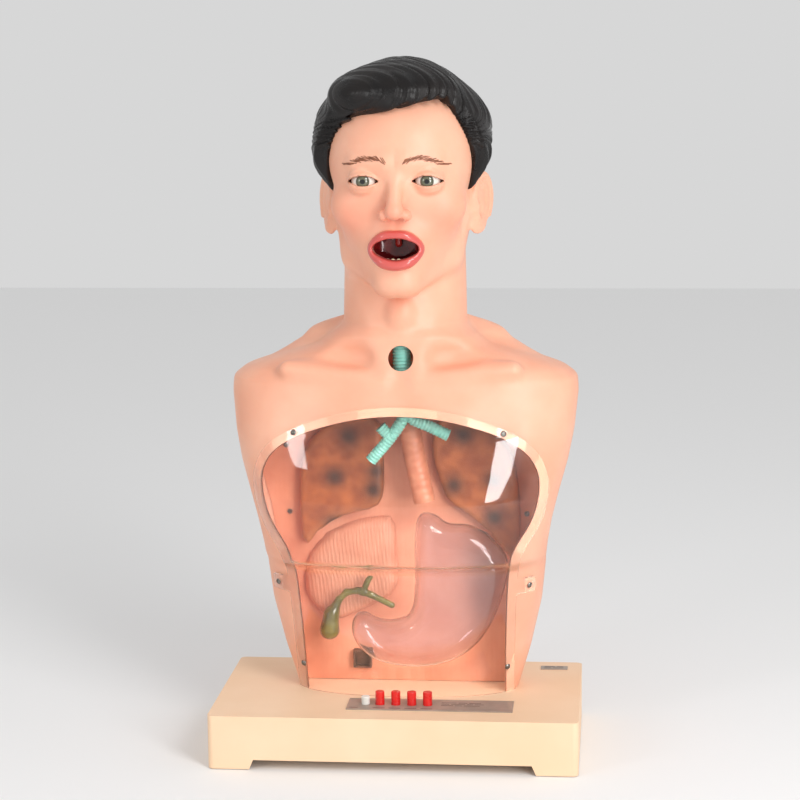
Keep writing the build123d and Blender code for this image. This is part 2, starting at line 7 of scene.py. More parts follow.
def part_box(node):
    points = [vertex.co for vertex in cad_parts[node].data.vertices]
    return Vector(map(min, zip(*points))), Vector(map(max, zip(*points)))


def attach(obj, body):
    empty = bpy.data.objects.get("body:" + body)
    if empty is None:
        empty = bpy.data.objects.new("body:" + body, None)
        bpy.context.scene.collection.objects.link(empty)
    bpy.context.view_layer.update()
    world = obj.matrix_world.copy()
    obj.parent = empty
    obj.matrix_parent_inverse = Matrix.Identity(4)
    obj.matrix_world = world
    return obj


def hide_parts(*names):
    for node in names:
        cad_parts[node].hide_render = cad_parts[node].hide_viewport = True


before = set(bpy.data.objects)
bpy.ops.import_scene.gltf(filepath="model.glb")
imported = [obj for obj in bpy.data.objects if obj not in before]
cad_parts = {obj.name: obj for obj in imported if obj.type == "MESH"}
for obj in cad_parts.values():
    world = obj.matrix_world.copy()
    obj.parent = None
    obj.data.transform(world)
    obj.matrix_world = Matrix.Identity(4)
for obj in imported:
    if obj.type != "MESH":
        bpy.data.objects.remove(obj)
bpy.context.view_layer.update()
rng = np.random.default_rng(7)
mm = 0.001


def boxOf(node):
    low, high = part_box(node)
    return np.array(low) / mm, np.array(high) / mm


def middleOf(node):
    low, high = boxOf(node)
    return (low + high) / 2


# places taken from the frame, in mm
baseTop = boxOf("base_housing")[1][2]
figureX = middleOf("torso_skin")[0]
headX = middleOf("mouth_liner")[0]
seamZ = boxOf("head_skin")[0][2]
eyeAt = middleOf("eye_left")
eyeSide = eyeAt[0] - headX
eyeY = eyeAt[1]
eyeZ = eyeAt[2]
mouthZ = middleOf("mouth_liner")[2]
hairTop = boxOf("hair_cap")[1][2]
boardY = boxOf("organ_panel")[0][1]
windowX = figureX + 2.0
windowZ = baseTop + 353.0
print("frame loaded")


# sculpting with distance fields, all in mm
def ball(p, centre, radii):
    q = [(a - c) / r for a, c, r in zip(p, centre, radii)]
    near = np.sqrt(q[0] ** 2 + q[1] ** 2 + q[2] ** 2) + 1e-9
    slope = np.sqrt((q[0] / radii[0]) ** 2 + (q[1] / radii[1]) ** 2 + (q[2] / radii[2]) ** 2) + 1e-9
    return near * (near - 1) / slope


def rod(p, start, end, startRadius, endRadius):
    d = [e - s for s, e in zip(start, end)]
    q = [a - s for a, s in zip(p, start)]
    t = np.clip((q[0] * d[0] + q[1] * d[1] + q[2] * d[2]) / (d[0] ** 2 + d[1] ** 2 + d[2] ** 2), 0, 1)
    away = np.sqrt((q[0] - t * d[0]) ** 2 + (q[1] - t * d[1]) ** 2 + (q[2] - t * d[2]) ** 2)
    return away - (startRadius + (endRadius - startRadius) * t)


def melt(a, b, soft):
    h = np.clip(0.5 + 0.5 * (b - a) / soft, 0, 1)
    return b + (a - b) * h - soft * h * (1 - h)


def scoop(a, b, soft):
    return -melt(-a, b, soft)


def bell(v, width):
    return np.exp(-(v / width) ** 2)


def ramp(v, low, high):
    t = np.clip((v - low) / (high - low), 0, 1)
    return t * t * (3 - 2 * t)


def slopeOf(shape, points, reach):
    out = np.zeros_like(points)
    for axis in range(3):
        step = np.zeros(3)
        step[axis] = reach
        ahead = points + step
        behind = points - step
        out[:, axis] = (shape(*ahead.T) - shape(*behind.T)) / (2 * reach)
    return out


def sculpt(shape, low, high, step, slack=1.7):
    # evaluates only near the surface, then joins the crossings into quads
    axes = [np.arange(a, b + step, step) for a, b in zip(low, high)]
    count = [len(a) for a in axes]
    block = 8
    starts = [np.arange(0, n, block) for n in count]
    mids = [a[np.minimum(s + block // 2, len(a) - 1)] for a, s in zip(axes, starts)]
    coarse = shape(*np.meshgrid(*mids, indexing="ij"))
    field = coarse
    for axis in range(3):
        field = np.repeat(field, block, axis=axis)
    field = field[:count[0], :count[1], :count[2]].astype(np.float32).copy()
    near = np.argwhere(np.abs(coarse) < step * block * 0.87 * slack)
    inner = np.stack(np.meshgrid(*[np.arange(block)] * 3, indexing="ij"), -1).reshape(-1, 3)
    for first in range(0, len(near), 400):
        cells = (near[first:first + 400, None, :] * block + inner[None]).reshape(-1, 3)
        cells = cells[(cells < count).all(1)]
        values = shape(axes[0][cells[:, 0]], axes[1][cells[:, 1]], axes[2][cells[:, 2]])
        field[cells[:, 0], cells[:, 1], cells[:, 2]] = values
    inside = field < 0
    corners = [(i, j, k) for i in (0, 1) for j in (0, 1) for k in (0, 1)]
    n = [c - 1 for c in count]
    total = sum(inside[i:i + n[0], j:j + n[1], k:k + n[2]].astype(np.int8) for i, j, k in corners)
    ci, cj, ck = np.nonzero((total > 0) & (total < 8))
    index = np.full(n, -1, np.int64)
    index[ci, cj, ck] = np.arange(len(ci))
    place = np.zeros((len(ci), 3))
    hits = np.zeros(len(ci))
    for a in corners:
        for axis in range(3):
            if a[axis]:
                continue
            b = list(a)
            b[axis] = 1
            fa = field[ci + a[0], cj + a[1], ck + a[2]].astype(float)
            fb = field[ci + b[0], cj + b[1], ck + b[2]].astype(float)
            cross = (fa < 0) != (fb < 0)
            t = np.where(cross, fa / np.where(cross, fa - fb, 1), 0)
            at = np.stack([axes[0][ci + a[0]], axes[1][cj + a[1]], axes[2][ck + a[2]]], -1)
            at[:, axis] += t * step
            place += at * cross[:, None]
            hits += cross
    verts = place / hits[:, None]
    quads = []
    for axis in range(3):
        u, v = [(1, 2), (2, 0), (0, 1)][axis]
        lowPart = [slice(None)] * 3
        highPart = [slice(None)] * 3
        lowPart[axis] = slice(0, -1)
        highPart[axis] = slice(1, None)
        a = inside[tuple(lowPart)]
        b = inside[tuple(highPart)]
        cells = np.argwhere(a != b)
        cells = cells[(cells[:, u] > 0) & (cells[:, v] > 0) & (cells[:, u] < n[u]) & (cells[:, v] < n[v])]
        ring = []
        for du, dv in ((-1, -1), (0, -1), (0, 0), (-1, 0)):
            c = cells.copy()
            c[:, u] += du
            c[:, v] += dv
            ring.append(index[c[:, 0], c[:, 1], c[:, 2]])
        ring = np.stack(ring, -1)
        flip = ~a[cells[:, 0], cells[:, 1], cells[:, 2]]
        ring[flip] = ring[flip][:, ::-1]
        quads.append(ring)
    quads = np.concatenate(quads)
    quads = quads[(quads >= 0).all(1)]
    for _ in range(2):
        grad = slopeOf(shape, verts, step * 0.25)
        size = (grad ** 2).sum(1) + 1e-6
        move = grad * (shape(*verts.T) / size)[:, None]
        length = np.sqrt((move ** 2).sum(1))
        verts = verts - move * np.minimum(1, step * 0.7 / np.maximum(length, 1e-9))[:, None]
    normals = slopeOf(shape, verts, step * 0.35)
    normals /= np.sqrt((normals ** 2).sum(1))[:, None] + 1e-9
    return verts, quads, normals


def triangles(quads):
    return np.concatenate([quads[:, [0, 1, 2]], quads[:, [0, 2, 3]]])


def trim(verts, normals, tris, keep):
    # cuts a triangle mesh along keep == 0 and drops the side below it
    side = keep > 0
    held = side[tris].sum(1)
    whole = tris[held == 3]

    def turned(group, wanted):
        shift = np.argmax(side[group] == wanted, axis=1)
        rows = np.arange(len(group))[:, None]
        return group[rows, (shift[:, None] + np.arange(3)) % 3]

    one = turned(tris[held == 1], True)
    two = turned(tris[held == 2], False)
    edges = np.concatenate([one[:, [0, 1]], one[:, [0, 2]], two[:, [0, 1]], two[:, [0, 2]]])
    if not len(edges):
        return compact(verts, normals, whole)
    pairs, where = np.unique(np.sort(edges, 1), axis=0, return_inverse=True)
    where = where.reshape(-1) + len(verts)
    a, b = pairs.T
    t = (keep[a] / (keep[a] - keep[b]))[:, None]
    verts = np.concatenate([verts, verts[a] * (1 - t) + verts[b] * t])
    fresh = normals[a] * (1 - t) + normals[b] * t
    normals = np.concatenate([normals, fresh / (np.linalg.norm(fresh, axis=1)[:, None] + 1e-9)])
    m, k = len(one), len(two)
    e1, e2, e3, e4 = where[:m], where[m:2 * m], where[2 * m:2 * m + k], where[2 * m + k:]
    parts = [whole, np.stack([one[:, 0], e1, e2], -1), np.stack([two[:, 1], two[:, 2], e4], -1),
             np.stack([two[:, 1], e4, e3], -1)]
    return compact(verts, normals, np.concatenate(parts))


def compact(verts, normals, faces):
    used, back = np.unique(faces, return_inverse=True)
    return verts[used], normals[used], back.reshape(faces.shape)


def openEdges(tris):
    edges = np.concatenate([tris[:, [0, 1]], tris[:, [1, 2]], tris[:, [2, 0]]])
    key = np.sort(edges, 1)
    _, where, many = np.unique(key, axis=0, return_inverse=True, return_counts=True)
    return edges[many[where.reshape(-1)] == 1]


def walled(verts, normals, tris, wall):
    # closed shell: the given surface, its inside at `wall`, and the rim between
    n = len(verts)
    rim = openEdges(tris)
    allVerts = np.concatenate([verts, verts - normals * wall])
    allNormals = np.concatenate([normals, -normals])
    sides = np.concatenate([np.stack([rim[:, 1], rim[:, 0], rim[:, 0] + n], -1),
                            np.stack([rim[:, 1], rim[:, 0] + n, rim[:, 1] + n], -1)])
    return allVerts, allNormals, np.concatenate([tris, tris[:, ::-1] + n, sides])


def capped(verts, normals, tris):
    # closes one open rim with a fan to its middle
    rim = openEdges(tris)
    middle = verts[rim[:, 0]].mean(0)
    n = len(verts)
    fan = np.stack([rim[:, 1], rim[:, 0], np.full(len(rim), n)], -1)
    return np.vstack([verts, middle]), np.vstack([normals, [0, 0, -1]]), np.concatenate([tris, fan])


def addObject(name, verts, faces, smooth=True, normals=None):
    mesh = bpy.data.meshes.new(name)
    mesh.from_pydata((np.asarray(verts) * mm).tolist(), [], np.asarray(faces).tolist()
                     if isinstance(faces, np.ndarray) else faces)
    mesh.update()
    if smooth:
        mesh.shade_smooth()
    if normals is not None:
        mesh.normals_split_custom_set_from_vertices([tuple(v) for v in normals])
    piece = bpy.data.objects.new(name, mesh)
    bpy.context.scene.collection.objects.link(piece)
    return piece


def place(piece, body, material, slot=None, replaces=()):
    piece.data.materials.clear()
    piece.data.materials.append(material)
    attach(piece, body)
    if replaces:
        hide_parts(*replaces)
    return piece


def sculptPiece(name, shape, low, high, step, material, slot, node):
    # sculpts a field, adds it as a piece of the stand and gives back its points too
    verts, quads, normals = sculpt(shape, low, high, step)
    piece = addObject(name, verts, quads, normals=normals)
    place(piece, "stand", material, slot, [node])
    return piece, verts


def paintMask(piece, name, values):
    attribute = piece.data.attributes.new(name, "FLOAT", "POINT")
    attribute.data.foreach_set("value", np.asarray(values, np.float32))


# the figure
torso = {
    "heights": [-10, 0, 45, 95, 134, 139, 147, 160, 185, 213, 245, 275, 313, 328, 338, 349, 361, 376,
                391, 420],
    "halfWidths": [113, 115, 128, 139, 143, 143, 144, 145.5, 150, 157, 166, 172, 176, 175, 162, 128, 88,
                   70, 63, 60],
    "fronts": [-27, -29, -38, -50, -60, -63, -77, -83, -91, -92, -86, -77, -62, -56, -52, -49, -47, -46,
               -45, -44],
    "backs": [90, 91, 92, 92, 92, 92, 93, 93, 94, 94, 96, 97, 95, 88, 84, 80, 76, 72, 70, 70],
    "squareness": 2.5,
    "smoothing": 3.0,
    "wall": 3.0,
}


def sectionTable():
    h = np.arange(-30.0, 460.0, 1.0)
    spread = np.arange(-20.0, 21.0)
    weight = bell(spread, torso["smoothing"])
    weight /= weight.sum()
    rows = []
    for key in ("halfWidths", "fronts", "backs"):
        line = np.interp(h, torso["heights"], torso[key])
        rows.append(np.convolve(np.pad(line, 20, mode="edge"), weight, mode="valid"))
    slope = np.gradient(rows[0])
    return h, rows[0], rows[1], rows[2], slope


sectionH, sectionA, sectionF, sectionB, sectionS = sectionTable()


def trunk(x, y, z):
    h = z - baseTop
    a, f, b, s = [np.interp(h, sectionH, row) for row in (sectionA, sectionF, sectionB, sectionS)]
    dx = (x - figureX) / a
    dy = (y - (f + b) / 2) / ((b - f) / 2)
    n = torso["squareness"]
    q = (np.abs(dx) ** n + np.abs(dy) ** n) ** (1 / n) + 1e-6
    r = np.hypot(x - figureX, y - (f + b) / 2)
    lean = np.abs(x - figureX) / (r + 1e-6) * s
    return r * (1 - 1 / q) / np.sqrt(1 + lean ** 2)


def torsoField(x, y, z):
    u = np.abs(x - figureX)
    p = (u, y, z)
    f = trunk(x, y, z)
    f = melt(f, rod(p, (34, 42, 470), (112, 34, 392), 18, 15), 16)      # trapezius
    f = scoop(f, ball(p, (52, -48, 410), (24, 11, 10)), 15)              # hollow over the collarbone
    f = melt(f, rod(p, (18, -49.5, 384), (112, -42, 396), 6, 7), 13)     # collarbone
    f = scoop(f, ball(p, (104, -86, 352), (20, 16, 30)), 26)             # hollow by the shoulder
    f = scoop(f, ball(p, (0, 104, 250), (9, 14, 150)), 16)               # spine
    f = melt(f, ball(p, (72, 78, 312), (36, 18, 48)), 20)                # shoulder blades
    return f


def neckField(x, y, z):
    u = np.abs(x - headX)
    f = rod((u * 0.93, y, z), (0, 12, 396), (0, 20, 545), 59, 56)
    p = (u, y, z)
    f = melt(f, ball(p, (0, -41, 452), (12, 9, 17)), 9)
    f = melt(f, rod(p, (57, 16, 535), (14, -46, 392), 9, 7), 8)
    f = scoop(f, ball(p, (0, -60, 388), (9, 8, 10)), 8)
    return f


face = {
    "lipWide": 25.0, "lipHigh": 15.0, "lipRound": 5.0, "lipY": -85.5,
    "lidWide": 15.5, "lidUp": 5.4, "lidDown": 4.4, "lidBall": 14.3,
}


def lipParts(x, y, z):
    u = np.abs(x - headX)
    m = z - mouthZ + 0.9 * bell(u, 7) * (z > mouthZ)
    wide, high = face["lipWide"], face["lipHigh"]
    q = np.sqrt(np.abs(u / wide) ** 1.7 + (m / high) ** 2) + 1e-6
    slope = np.sqrt((0.85 * np.abs(u / wide) ** 0.7 / wide) ** 2 + (m / high ** 2) ** 2) / q + 1e-6
    ring = (q - 1) / slope
    front = face["lipY"] + 0.0105 * u ** 2
    thick = face["lipRound"] - 0.8 * np.clip(m / high, -1, 1) - 2.4 * ramp(u, 12, 27)
    return ring, (y - front), thick


ear = {"out": 67.5, "flare": 0.46, "y": 17.0, "z": -27.0, "high": 30.0, "deep": 18.0, "tilt": 0.16}


def earField(u, y, e):
    b = y - ear["y"] - ear["tilt"] * (e - ear["z"])
    a = e - ear["z"]
    deep = ear["deep"] * (0.8 + 0.2 * ramp(a, -25, 10))
    q = np.sqrt((a / ear["high"]) ** 2 + (b / deep) ** 2) + 1e-6
    c = u - ear["out"] - ear["flare"] * (b + ear["deep"]) - 1.5 * bell(q - 0.9, 0.3)
    reach = (q - 1) * deep
    f = scoop(reach + 1.5, 1.7 - np.abs(c), 2)
    helix = np.hypot(reach + 2.4, c - 1.4) - 2.5 + 2.5 * (a < -16)
    inner = np.hypot((q - 0.56) * deep, c - 0.8) - 1.9 + 3.0 * ramp(-b, 0, 8)
    f = melt(melt(f, helix, 1.6), inner, 2.0)
    f = melt(f, ball((a, b, c), (-21, -7, 0), (10, 9, 3.4)), 5)
    f = melt(f, ball((a, b, c), (-4, -15, 1.5), (6, 4, 4)), 3)
    return scoop(f, ball((a, b, c), (-5, -3, 3.4), (8, 7, 4)), 1.5)


def headField(x, y, z):
    u = np.abs(x - headX)
    e = z - eyeZ
    p = (u, y, e)
    f = ball(p, (0, 10, 28), (75, 85, 82))
    f = melt(f, ball(p, (0, -26, 16), (65, 57, 60)), 18)
    f = melt(f, ball(p, (0, -24, -38), (58, 55, 66)), 20)
    f = melt(f, rod(p, (11, -60, -100), (43, -14, -78), 13, 13), 16)
    f = melt(f, rod(p, (43, -14, -78), (58, 4, -34), 13, 12), 18)
    f = melt(f, ball(p, (0, -66, -99), (19, 15, 14)), 12)
    f = melt(f, ball(p, (0, -55, -66), (34, 29, 30)), 16)
    f = melt(f, ball(p, (44, -50, -26), (20, 18, 17)), 22)
    f = melt(f, rod(p, (9, -76, 19), (37, -66, 17), 9, 8), 9)
    f = melt(f, neckField(x, y, z), 9)
    f = scoop(f, ball(p, (eyeSide, -95, 2), (18, 14, 11.5)), 9)
    lid = ball(p, (eyeSide, eyeY, 0), (face["lidBall"] + 2, face["lidBall"], face["lidBall"]))
    f = melt(f, lid, 3)
    t = (u - eyeSide) / face["lidWide"]
    up = face["lidUp"] * (1 - t ** 2)
    down = -face["lidDown"] * (1 - t ** 2)
    f = f + 0.9 * bell(e - up - 4.6, 1.4) * bell(t, 0.95) * (y < -60)
    f = f + 0.4 * bell(e - down + 4.4, 1.6) * bell(t, 0.8) * (y < -60)
    away = np.sqrt((u - eyeSide) ** 2 + (y - eyeY) ** 2 + e ** 2)
    almond = np.maximum(np.maximum(e - up, down - e), 11.2 - away)
    f = scoop(f, np.maximum(almond, y + 60), 0.7)
    f = melt(f, rod(p, (0, -79, 4), (0, -92, -25), 6.0, 7.5), 8)
    f = melt(f, ball(p, (0, -91.5, -29), (9.0, 10.0, 8.0)), 4)
    f = melt(f, ball(p, (10.5, -85.5, -32), (6.0, 8.5, 6.0)), 3)
    f = scoop(f, ball(p, (6.0, -93, -38.5), (3.2, 6.5, 4.2)), 1.5)
    ring, deep, thick = lipParts(x, y, z)
    f = f + 0.9 * bell(u, 3.2) * bell(z - mouthZ - 24, 6) * (y < -70)
    f = melt(f, np.hypot(ring, deep * 0.85) - thick, 2.6)
    hole = np.maximum(ring + thick * 0.86, y + 45)
    f = scoop(f, hole, 1.6)
    f = scoop(f, ball((u, y, z), (0, -62, mouthZ), (24.2, 22, 17.8)), 1)
    return melt(f, earField(u, y, e), 5)


def figureField(x, y, z):
    x, y, z = np.broadcast_arrays(x, y, z)
    f = np.full(x.shape, 60.0)
    body = z < 470
    f[body] = torsoField(x[body], y[body], z[body]) + 60 * ramp(z[body], 426, 468)
    neck = (z > 360) & (z <= 440)
    head = z > 440
    for part, shape in ((neck, neckField), (head, headField)):
        if part.any():
            field = shape(x[part], y[part], z[part]) + 60 * (1 - ramp(z[part], 366, 390))
            f[part] = melt(f[part], field, 11)
    return f


windowEdge = [(112, -30), (112, 30), (114, 95), (117, 140), (122, 160), (141, 188), (149, 220), (147, 245),
              (133, 269), (101, 288), (52, 303), (0, 308)]


def windowField(x, z, inset):
    # signed distance to the chest window seen from the front, positive outside
    loop = smoothLoop(windowEdge + [(-a, h) for a, h in reversed(windowEdge[:-1])])
    return loopDistance(loop, x - figureX, z - baseTop) + inset


def smoothLoop(points, passes=2):
    loop = np.array(points, float)
    for _ in range(passes):
        after = np.roll(loop, -1, 0)
        loop = np.stack([0.75 * loop + 0.25 * after, 0.25 * loop + 0.75 * after], 1).reshape(-1, 2)
    return loop


def loopDistance(loop, x, z):
    best = np.full(np.shape(x), 1e9)
    inside = np.zeros(np.shape(x), bool)
    for (ax, az), (bx, bz) in zip(loop, np.roll(loop, -1, 0)):
        dx, dz = bx - ax, bz - az
        t = np.clip(((x - ax) * dx + (z - az) * dz) / (dx * dx + dz * dz + 1e-9), 0, 1)
        best = np.minimum(best, (x - ax - t * dx) ** 2 + (z - az - t * dz) ** 2)
        cross = ((az > z) != (bz > z)) & (x < dx * (z - az) / (dz if dz else 1e-9) + ax)
        inside ^= cross
    return np.where(inside, -1, 1) * np.sqrt(best)


# materials
def newGroup(name, kind, ins, outs):
    group = bpy.data.node_groups.new(name, kind)
    for label, socketKind, *value in ins:
        socket = group.interface.new_socket(label, in_out="INPUT", socket_type="NodeSocket" + socketKind)
        if value:
            socket.default_value = value[0]
    for label, socketKind in outs:
        group.interface.new_socket(label, in_out="OUTPUT", socket_type="NodeSocket" + socketKind)
    return group


def addNode(tree, kind, inputs=(), **settings):
    node = tree.nodes.new(kind)
    for key, value in settings.items():
        setattr(node, key, value)
    for key, value in dict(inputs).items():
        node.inputs[key].default_value = value
    return node


def join(tree, source, target):
    tree.links.new(source, target)


def wire(tree, links):
    # each link is a node, its output, the next node, its input
    for source, outKey, target, inKey in links:
        tree.links.new(source.outputs[outKey], target.inputs[inKey])


def mouldedGroup():
    # uneven colour, a roughness drift and a fine height, for anything moulded or painted
    group = newGroup("mouldedFinish", "ShaderNodeTree", [
        ("Colour", "Color", (0.8, 0.8, 0.8, 1)), ("Shade", "Color", (0.6, 0.6, 0.6, 1)),
        ("Patch size", "Float", 20.0), ("Grain size", "Float", 600.0),
        ("Rough low", "Float", 0.35), ("Rough high", "Float", 0.5)],
        [("Colour", "Color"), ("Roughness", "Float"), ("Height", "Float")])
    given = addNode(group, "NodeGroupInput")
    out = addNode(group, "NodeGroupOutput")
    coords = addNode(group, "ShaderNodeTexCoord")
    patch = addNode(group, "ShaderNodeTexNoise", {"Detail": 4})
    grain = addNode(group, "ShaderNodeTexNoise", {"Detail": 2})
    spread = addNode(group, "ShaderNodeMapRange", {"From Min": 0.36, "From Max": 0.66})
    mix = addNode(group, "ShaderNodeMix", data_type="RGBA")
    rough = addNode(group, "ShaderNodeMapRange", {"From Min": 0.3, "From Max": 0.7})
    wire(group, [
        (coords, "Object", patch, "Vector"), (given, "Patch size", patch, "Scale"),
        (coords, "Object", grain, "Vector"), (given, "Grain size", grain, "Scale"),
        (patch, "Fac", spread, "Value"), (spread, "Result", mix, 0),
        (given, "Colour", mix, 6), (given, "Shade", mix, 7),
        (patch, "Fac", rough, "Value"), (given, "Rough low", rough, "To Min"),
        (given, "Rough high", rough, "To Max"), (mix, 2, out, "Colour"),
        (rough, "Result", out, "Roughness"), (grain, "Fac", out, "Height")])
    return group


moulded = mouldedGroup()


def linear(rgb):
    return tuple(((c / 255 + 0.055) / 1.055) ** 2.4 if c > 10 else c / 255 / 12.92 for c in rgb) + (1.0,)


def newMaterial(name, colour, shade, patch=18.0, grain=500.0, rough=(0.35, 0.5), bump=0.05,
                distance=0.0004, coat=0.0, skinDepth=0.0, metallic=0.0):
    material = bpy.data.materials.new(name)
    material.use_nodes = True
    tree = material.node_tree
    shader = tree.nodes["Principled BSDF"]
    finish = addNode(tree, "ShaderNodeGroup", node_tree=moulded, name="finish")
    for key, value in (("Colour", linear(colour)), ("Shade", linear(shade)), ("Patch size", patch),
                       ("Grain size", grain), ("Rough low", rough[0]), ("Rough high", rough[1])):
        finish.inputs[key].default_value = value
    relief = addNode(tree, "ShaderNodeBump", {"Strength": bump, "Distance": distance}, name="relief")
    wire(tree, [(finish, "Colour", shader, "Base Color"), (finish, "Roughness", shader, "Roughness"),
                (finish, "Height", relief, "Height"), (relief, "Normal", shader, "Normal")])
    shader.inputs["Metallic"].default_value = metallic
    shader.inputs["Coat Weight"].default_value = coat
    shader.inputs["Coat Roughness"].default_value = 0.06
    if skinDepth:
        shader.inputs["Subsurface Weight"].default_value = skinDepth
        shader.inputs["Subsurface Radius"].default_value = (1.0, 0.45, 0.25)
        shader.inputs["Subsurface Scale"].default_value = 0.004
    return material


def overlay(material, mask, colour, strength=1.0):
    # paints a colour over the finish where a mask says so
    tree = material.node_tree
    shader = tree.nodes["Principled BSDF"]
    before = shader.inputs["Base Color"].links[0].from_socket
    mix = addNode(tree, "ShaderNodeMix", data_type="RGBA")
    gain = addNode(tree, "ShaderNodeMath", {1: strength}, operation="MULTIPLY", use_clamp=True)
    mix.inputs[7].default_value = linear(colour)
    join(tree, mask, gain.inputs[0])
    join(tree, gain.outputs[0], mix.inputs[0])
    join(tree, before, mix.inputs[6])
    join(tree, mix.outputs[2], shader.inputs["Base Color"])
    return gain.outputs[0]


def attributeMask(material, name):
    return addNode(material.node_tree, "ShaderNodeAttribute", attribute_name=name).outputs["Fac"]


def clearMaterial(name, tint, rough=0.03, see=0.98):
    # clear plastic; `see` is how much of the light its shadow lets through
    material = bpy.data.materials.new(name)
    material.use_nodes = True
    tree = material.node_tree
    shader = tree.nodes["Principled BSDF"]
    shader.inputs["Base Color"].default_value = linear(tint)
    shader.inputs["Transmission Weight"].default_value = 1.0
    shader.inputs["IOR"].default_value = 1.45
    noise = addNode(tree, "ShaderNodeTexNoise", {"Scale": 14})
    coords = addNode(tree, "ShaderNodeTexCoord")
    wear = addNode(tree, "ShaderNodeMapRange", {"To Min": rough, "To Max": rough + 0.03})
    path = addNode(tree, "ShaderNodeLightPath")
    light = addNode(tree, "ShaderNodeMath", {1: -see, 2: 1.0}, operation="MULTIPLY_ADD")
    wire(tree, [(coords, "Object", noise, "Vector"), (noise, "Fac", wear, "Value"),
                (wear, "Result", shader, "Roughness"), (path, "Is Shadow Ray", light, 0),
                (light, 0, shader, "Alpha")])
    return material


skin = newMaterial("vinylSkin", (241, 182, 153), (236, 168, 138), patch=14, grain=900,
                   rough=(0.38, 0.5), bump=0.08, distance=0.0003, skinDepth=0.12)
basePlastic = newMaterial("basePlastic", (246, 212, 178), (240, 204, 168), patch=10, grain=1400,
                          rough=(0.45, 0.6), bump=0.25, distance=0.0002)
lungPaint = newMaterial("lungPaint", (182, 98, 46), (146, 70, 30), patch=60, grain=700,
                        rough=(0.4, 0.6), bump=0.5, distance=0.0008)
liverPaint = newMaterial("liverPaint", (226, 158, 128), (212, 138, 108), patch=30, grain=600,
                         rough=(0.4, 0.55), bump=0.3, distance=0.0004)
boardPaint = newMaterial("boardPaint", (226, 152, 120), (212, 132, 100), patch=25, grain=700,
                         rough=(0.4, 0.55), bump=0.2, distance=0.0004)
airwayPlastic = newMaterial("airwayPlastic", (146, 214, 198), (122, 196, 180), patch=90, grain=800,
                            rough=(0.35, 0.5), bump=0.2, coat=0.2)
gulletPlastic = newMaterial("gulletPlastic", (222, 146, 112), (206, 124, 92), patch=60, grain=700,
                            rough=(0.35, 0.5), bump=0.2, coat=0.2)
hairPaint = newMaterial("hairPaint", (9, 6, 6), (20, 13, 11), patch=40, grain=300, rough=(0.24, 0.34),
                        bump=0.3, distance=0.0006, coat=0.1)
mouthPaint = newMaterial("mouthPaint", (170, 40, 38), (120, 20, 22), patch=60, grain=500,
                         rough=(0.2, 0.35), bump=0.3, coat=0.5)
uvulaPaint = newMaterial("uvulaPaint", (226, 70, 60), (206, 52, 46), patch=60, grain=500,
                         rough=(0.2, 0.35), bump=0.2, coat=0.5)
toothPaint = newMaterial("toothPaint", (238, 226, 200), (226, 208, 172), patch=120, grain=500,
                         rough=(0.15, 0.25), bump=0.1, coat=0.5)
redPlastic = newMaterial("redPlastic", (228, 30, 28), (205, 20, 20), patch=90, grain=1500,
                         rough=(0.22, 0.34), bump=0.1, coat=0.3)
whitePlastic = newMaterial("whitePlastic", (240, 238, 232), (226, 222, 214), patch=90, grain=1500,
                           rough=(0.25, 0.36), bump=0.1, coat=0.2)
panelMetal = newMaterial("panelMetal", (178, 164, 152), (160, 146, 134), patch=40, grain=1800,
                         rough=(0.35, 0.5), bump=0.15, distance=0.0002, metallic=0.35)
screwSteel = newMaterial("screwSteel", (150, 146, 140), (110, 106, 100), patch=300, grain=2500,
                         rough=(0.25, 0.45), bump=0.2, distance=0.0001, metallic=1.0)
blackPlastic = newMaterial("blackPlastic", (28, 27, 28), (44, 42, 42), patch=60, grain=1800,
                           rough=(0.4, 0.6), bump=0.3, distance=0.0002)
rubber = newMaterial("footRubber", (26, 26, 26), (40, 39, 38), patch=90, grain=1200, rough=(0.7, 0.85),
                     bump=0.4)
boardGreen = newMaterial("boardGreen", (22, 84, 46), (16, 64, 36), patch=90, grain=900,
                         rough=(0.3, 0.45), bump=0.2)
cellSleeve = newMaterial("cellSleeve", (40, 46, 70), (28, 32, 50), patch=70, grain=900,
                         rough=(0.25, 0.4), bump=0.1, metallic=0.4)
drainPaint = newMaterial("drainPaint", (104, 70, 54), (70, 46, 38), patch=120, grain=900,
                         rough=(0.3, 0.45), bump=0.2)
bilePlastic = newMaterial("bilePlastic", (124, 112, 44), (84, 76, 22), patch=60, grain=500,
                          rough=(0.12, 0.22), bump=0.1, coat=0.8)
clearPlastic = clearMaterial("clearPlastic", (255, 252, 250))
clearStomach = clearMaterial("clearStomach", (246, 244, 250), rough=0.015)
print("materials ready")


# skin
def torsoPiece():
    low = [figureX - 182, -104, baseTop - 4]
    high = [figureX + 182, 104, seamZ + 4]
    verts, quads, normals = sculpt(figureField, low, high, 3.0)
    tris = triangles(quads)
    verts, normals, tris = trim(verts, normals, tris, verts[:, 2] - baseTop - 0.2)
    verts, normals, tris = trim(verts, normals, tris, seamZ - verts[:, 2])
    window = np.where(verts[:, 1] < boardY, windowField(verts[:, 0], verts[:, 2], 9.0), 5.0)
    window = np.where((verts[:, 1] > boardY - 14), np.maximum(window, verts[:, 1] - boardY), window)
    verts, normals, tris = trim(verts, normals, tris, window)
    hole = np.hypot(verts[:, 0] - windowX, verts[:, 2] - windowZ) - 12.5
    verts, normals, tris = trim(verts, normals, tris, np.where(verts[:, 1] < 0, hole, 5.0))
    verts, normals, tris = walled(verts, normals, tris, torso["wall"])
    body = addObject("torsoSkin", verts, tris, normals=normals)
    place(body, "stand", skin, "skin", ["torso_skin"])
    print("torso skin", len(tris))


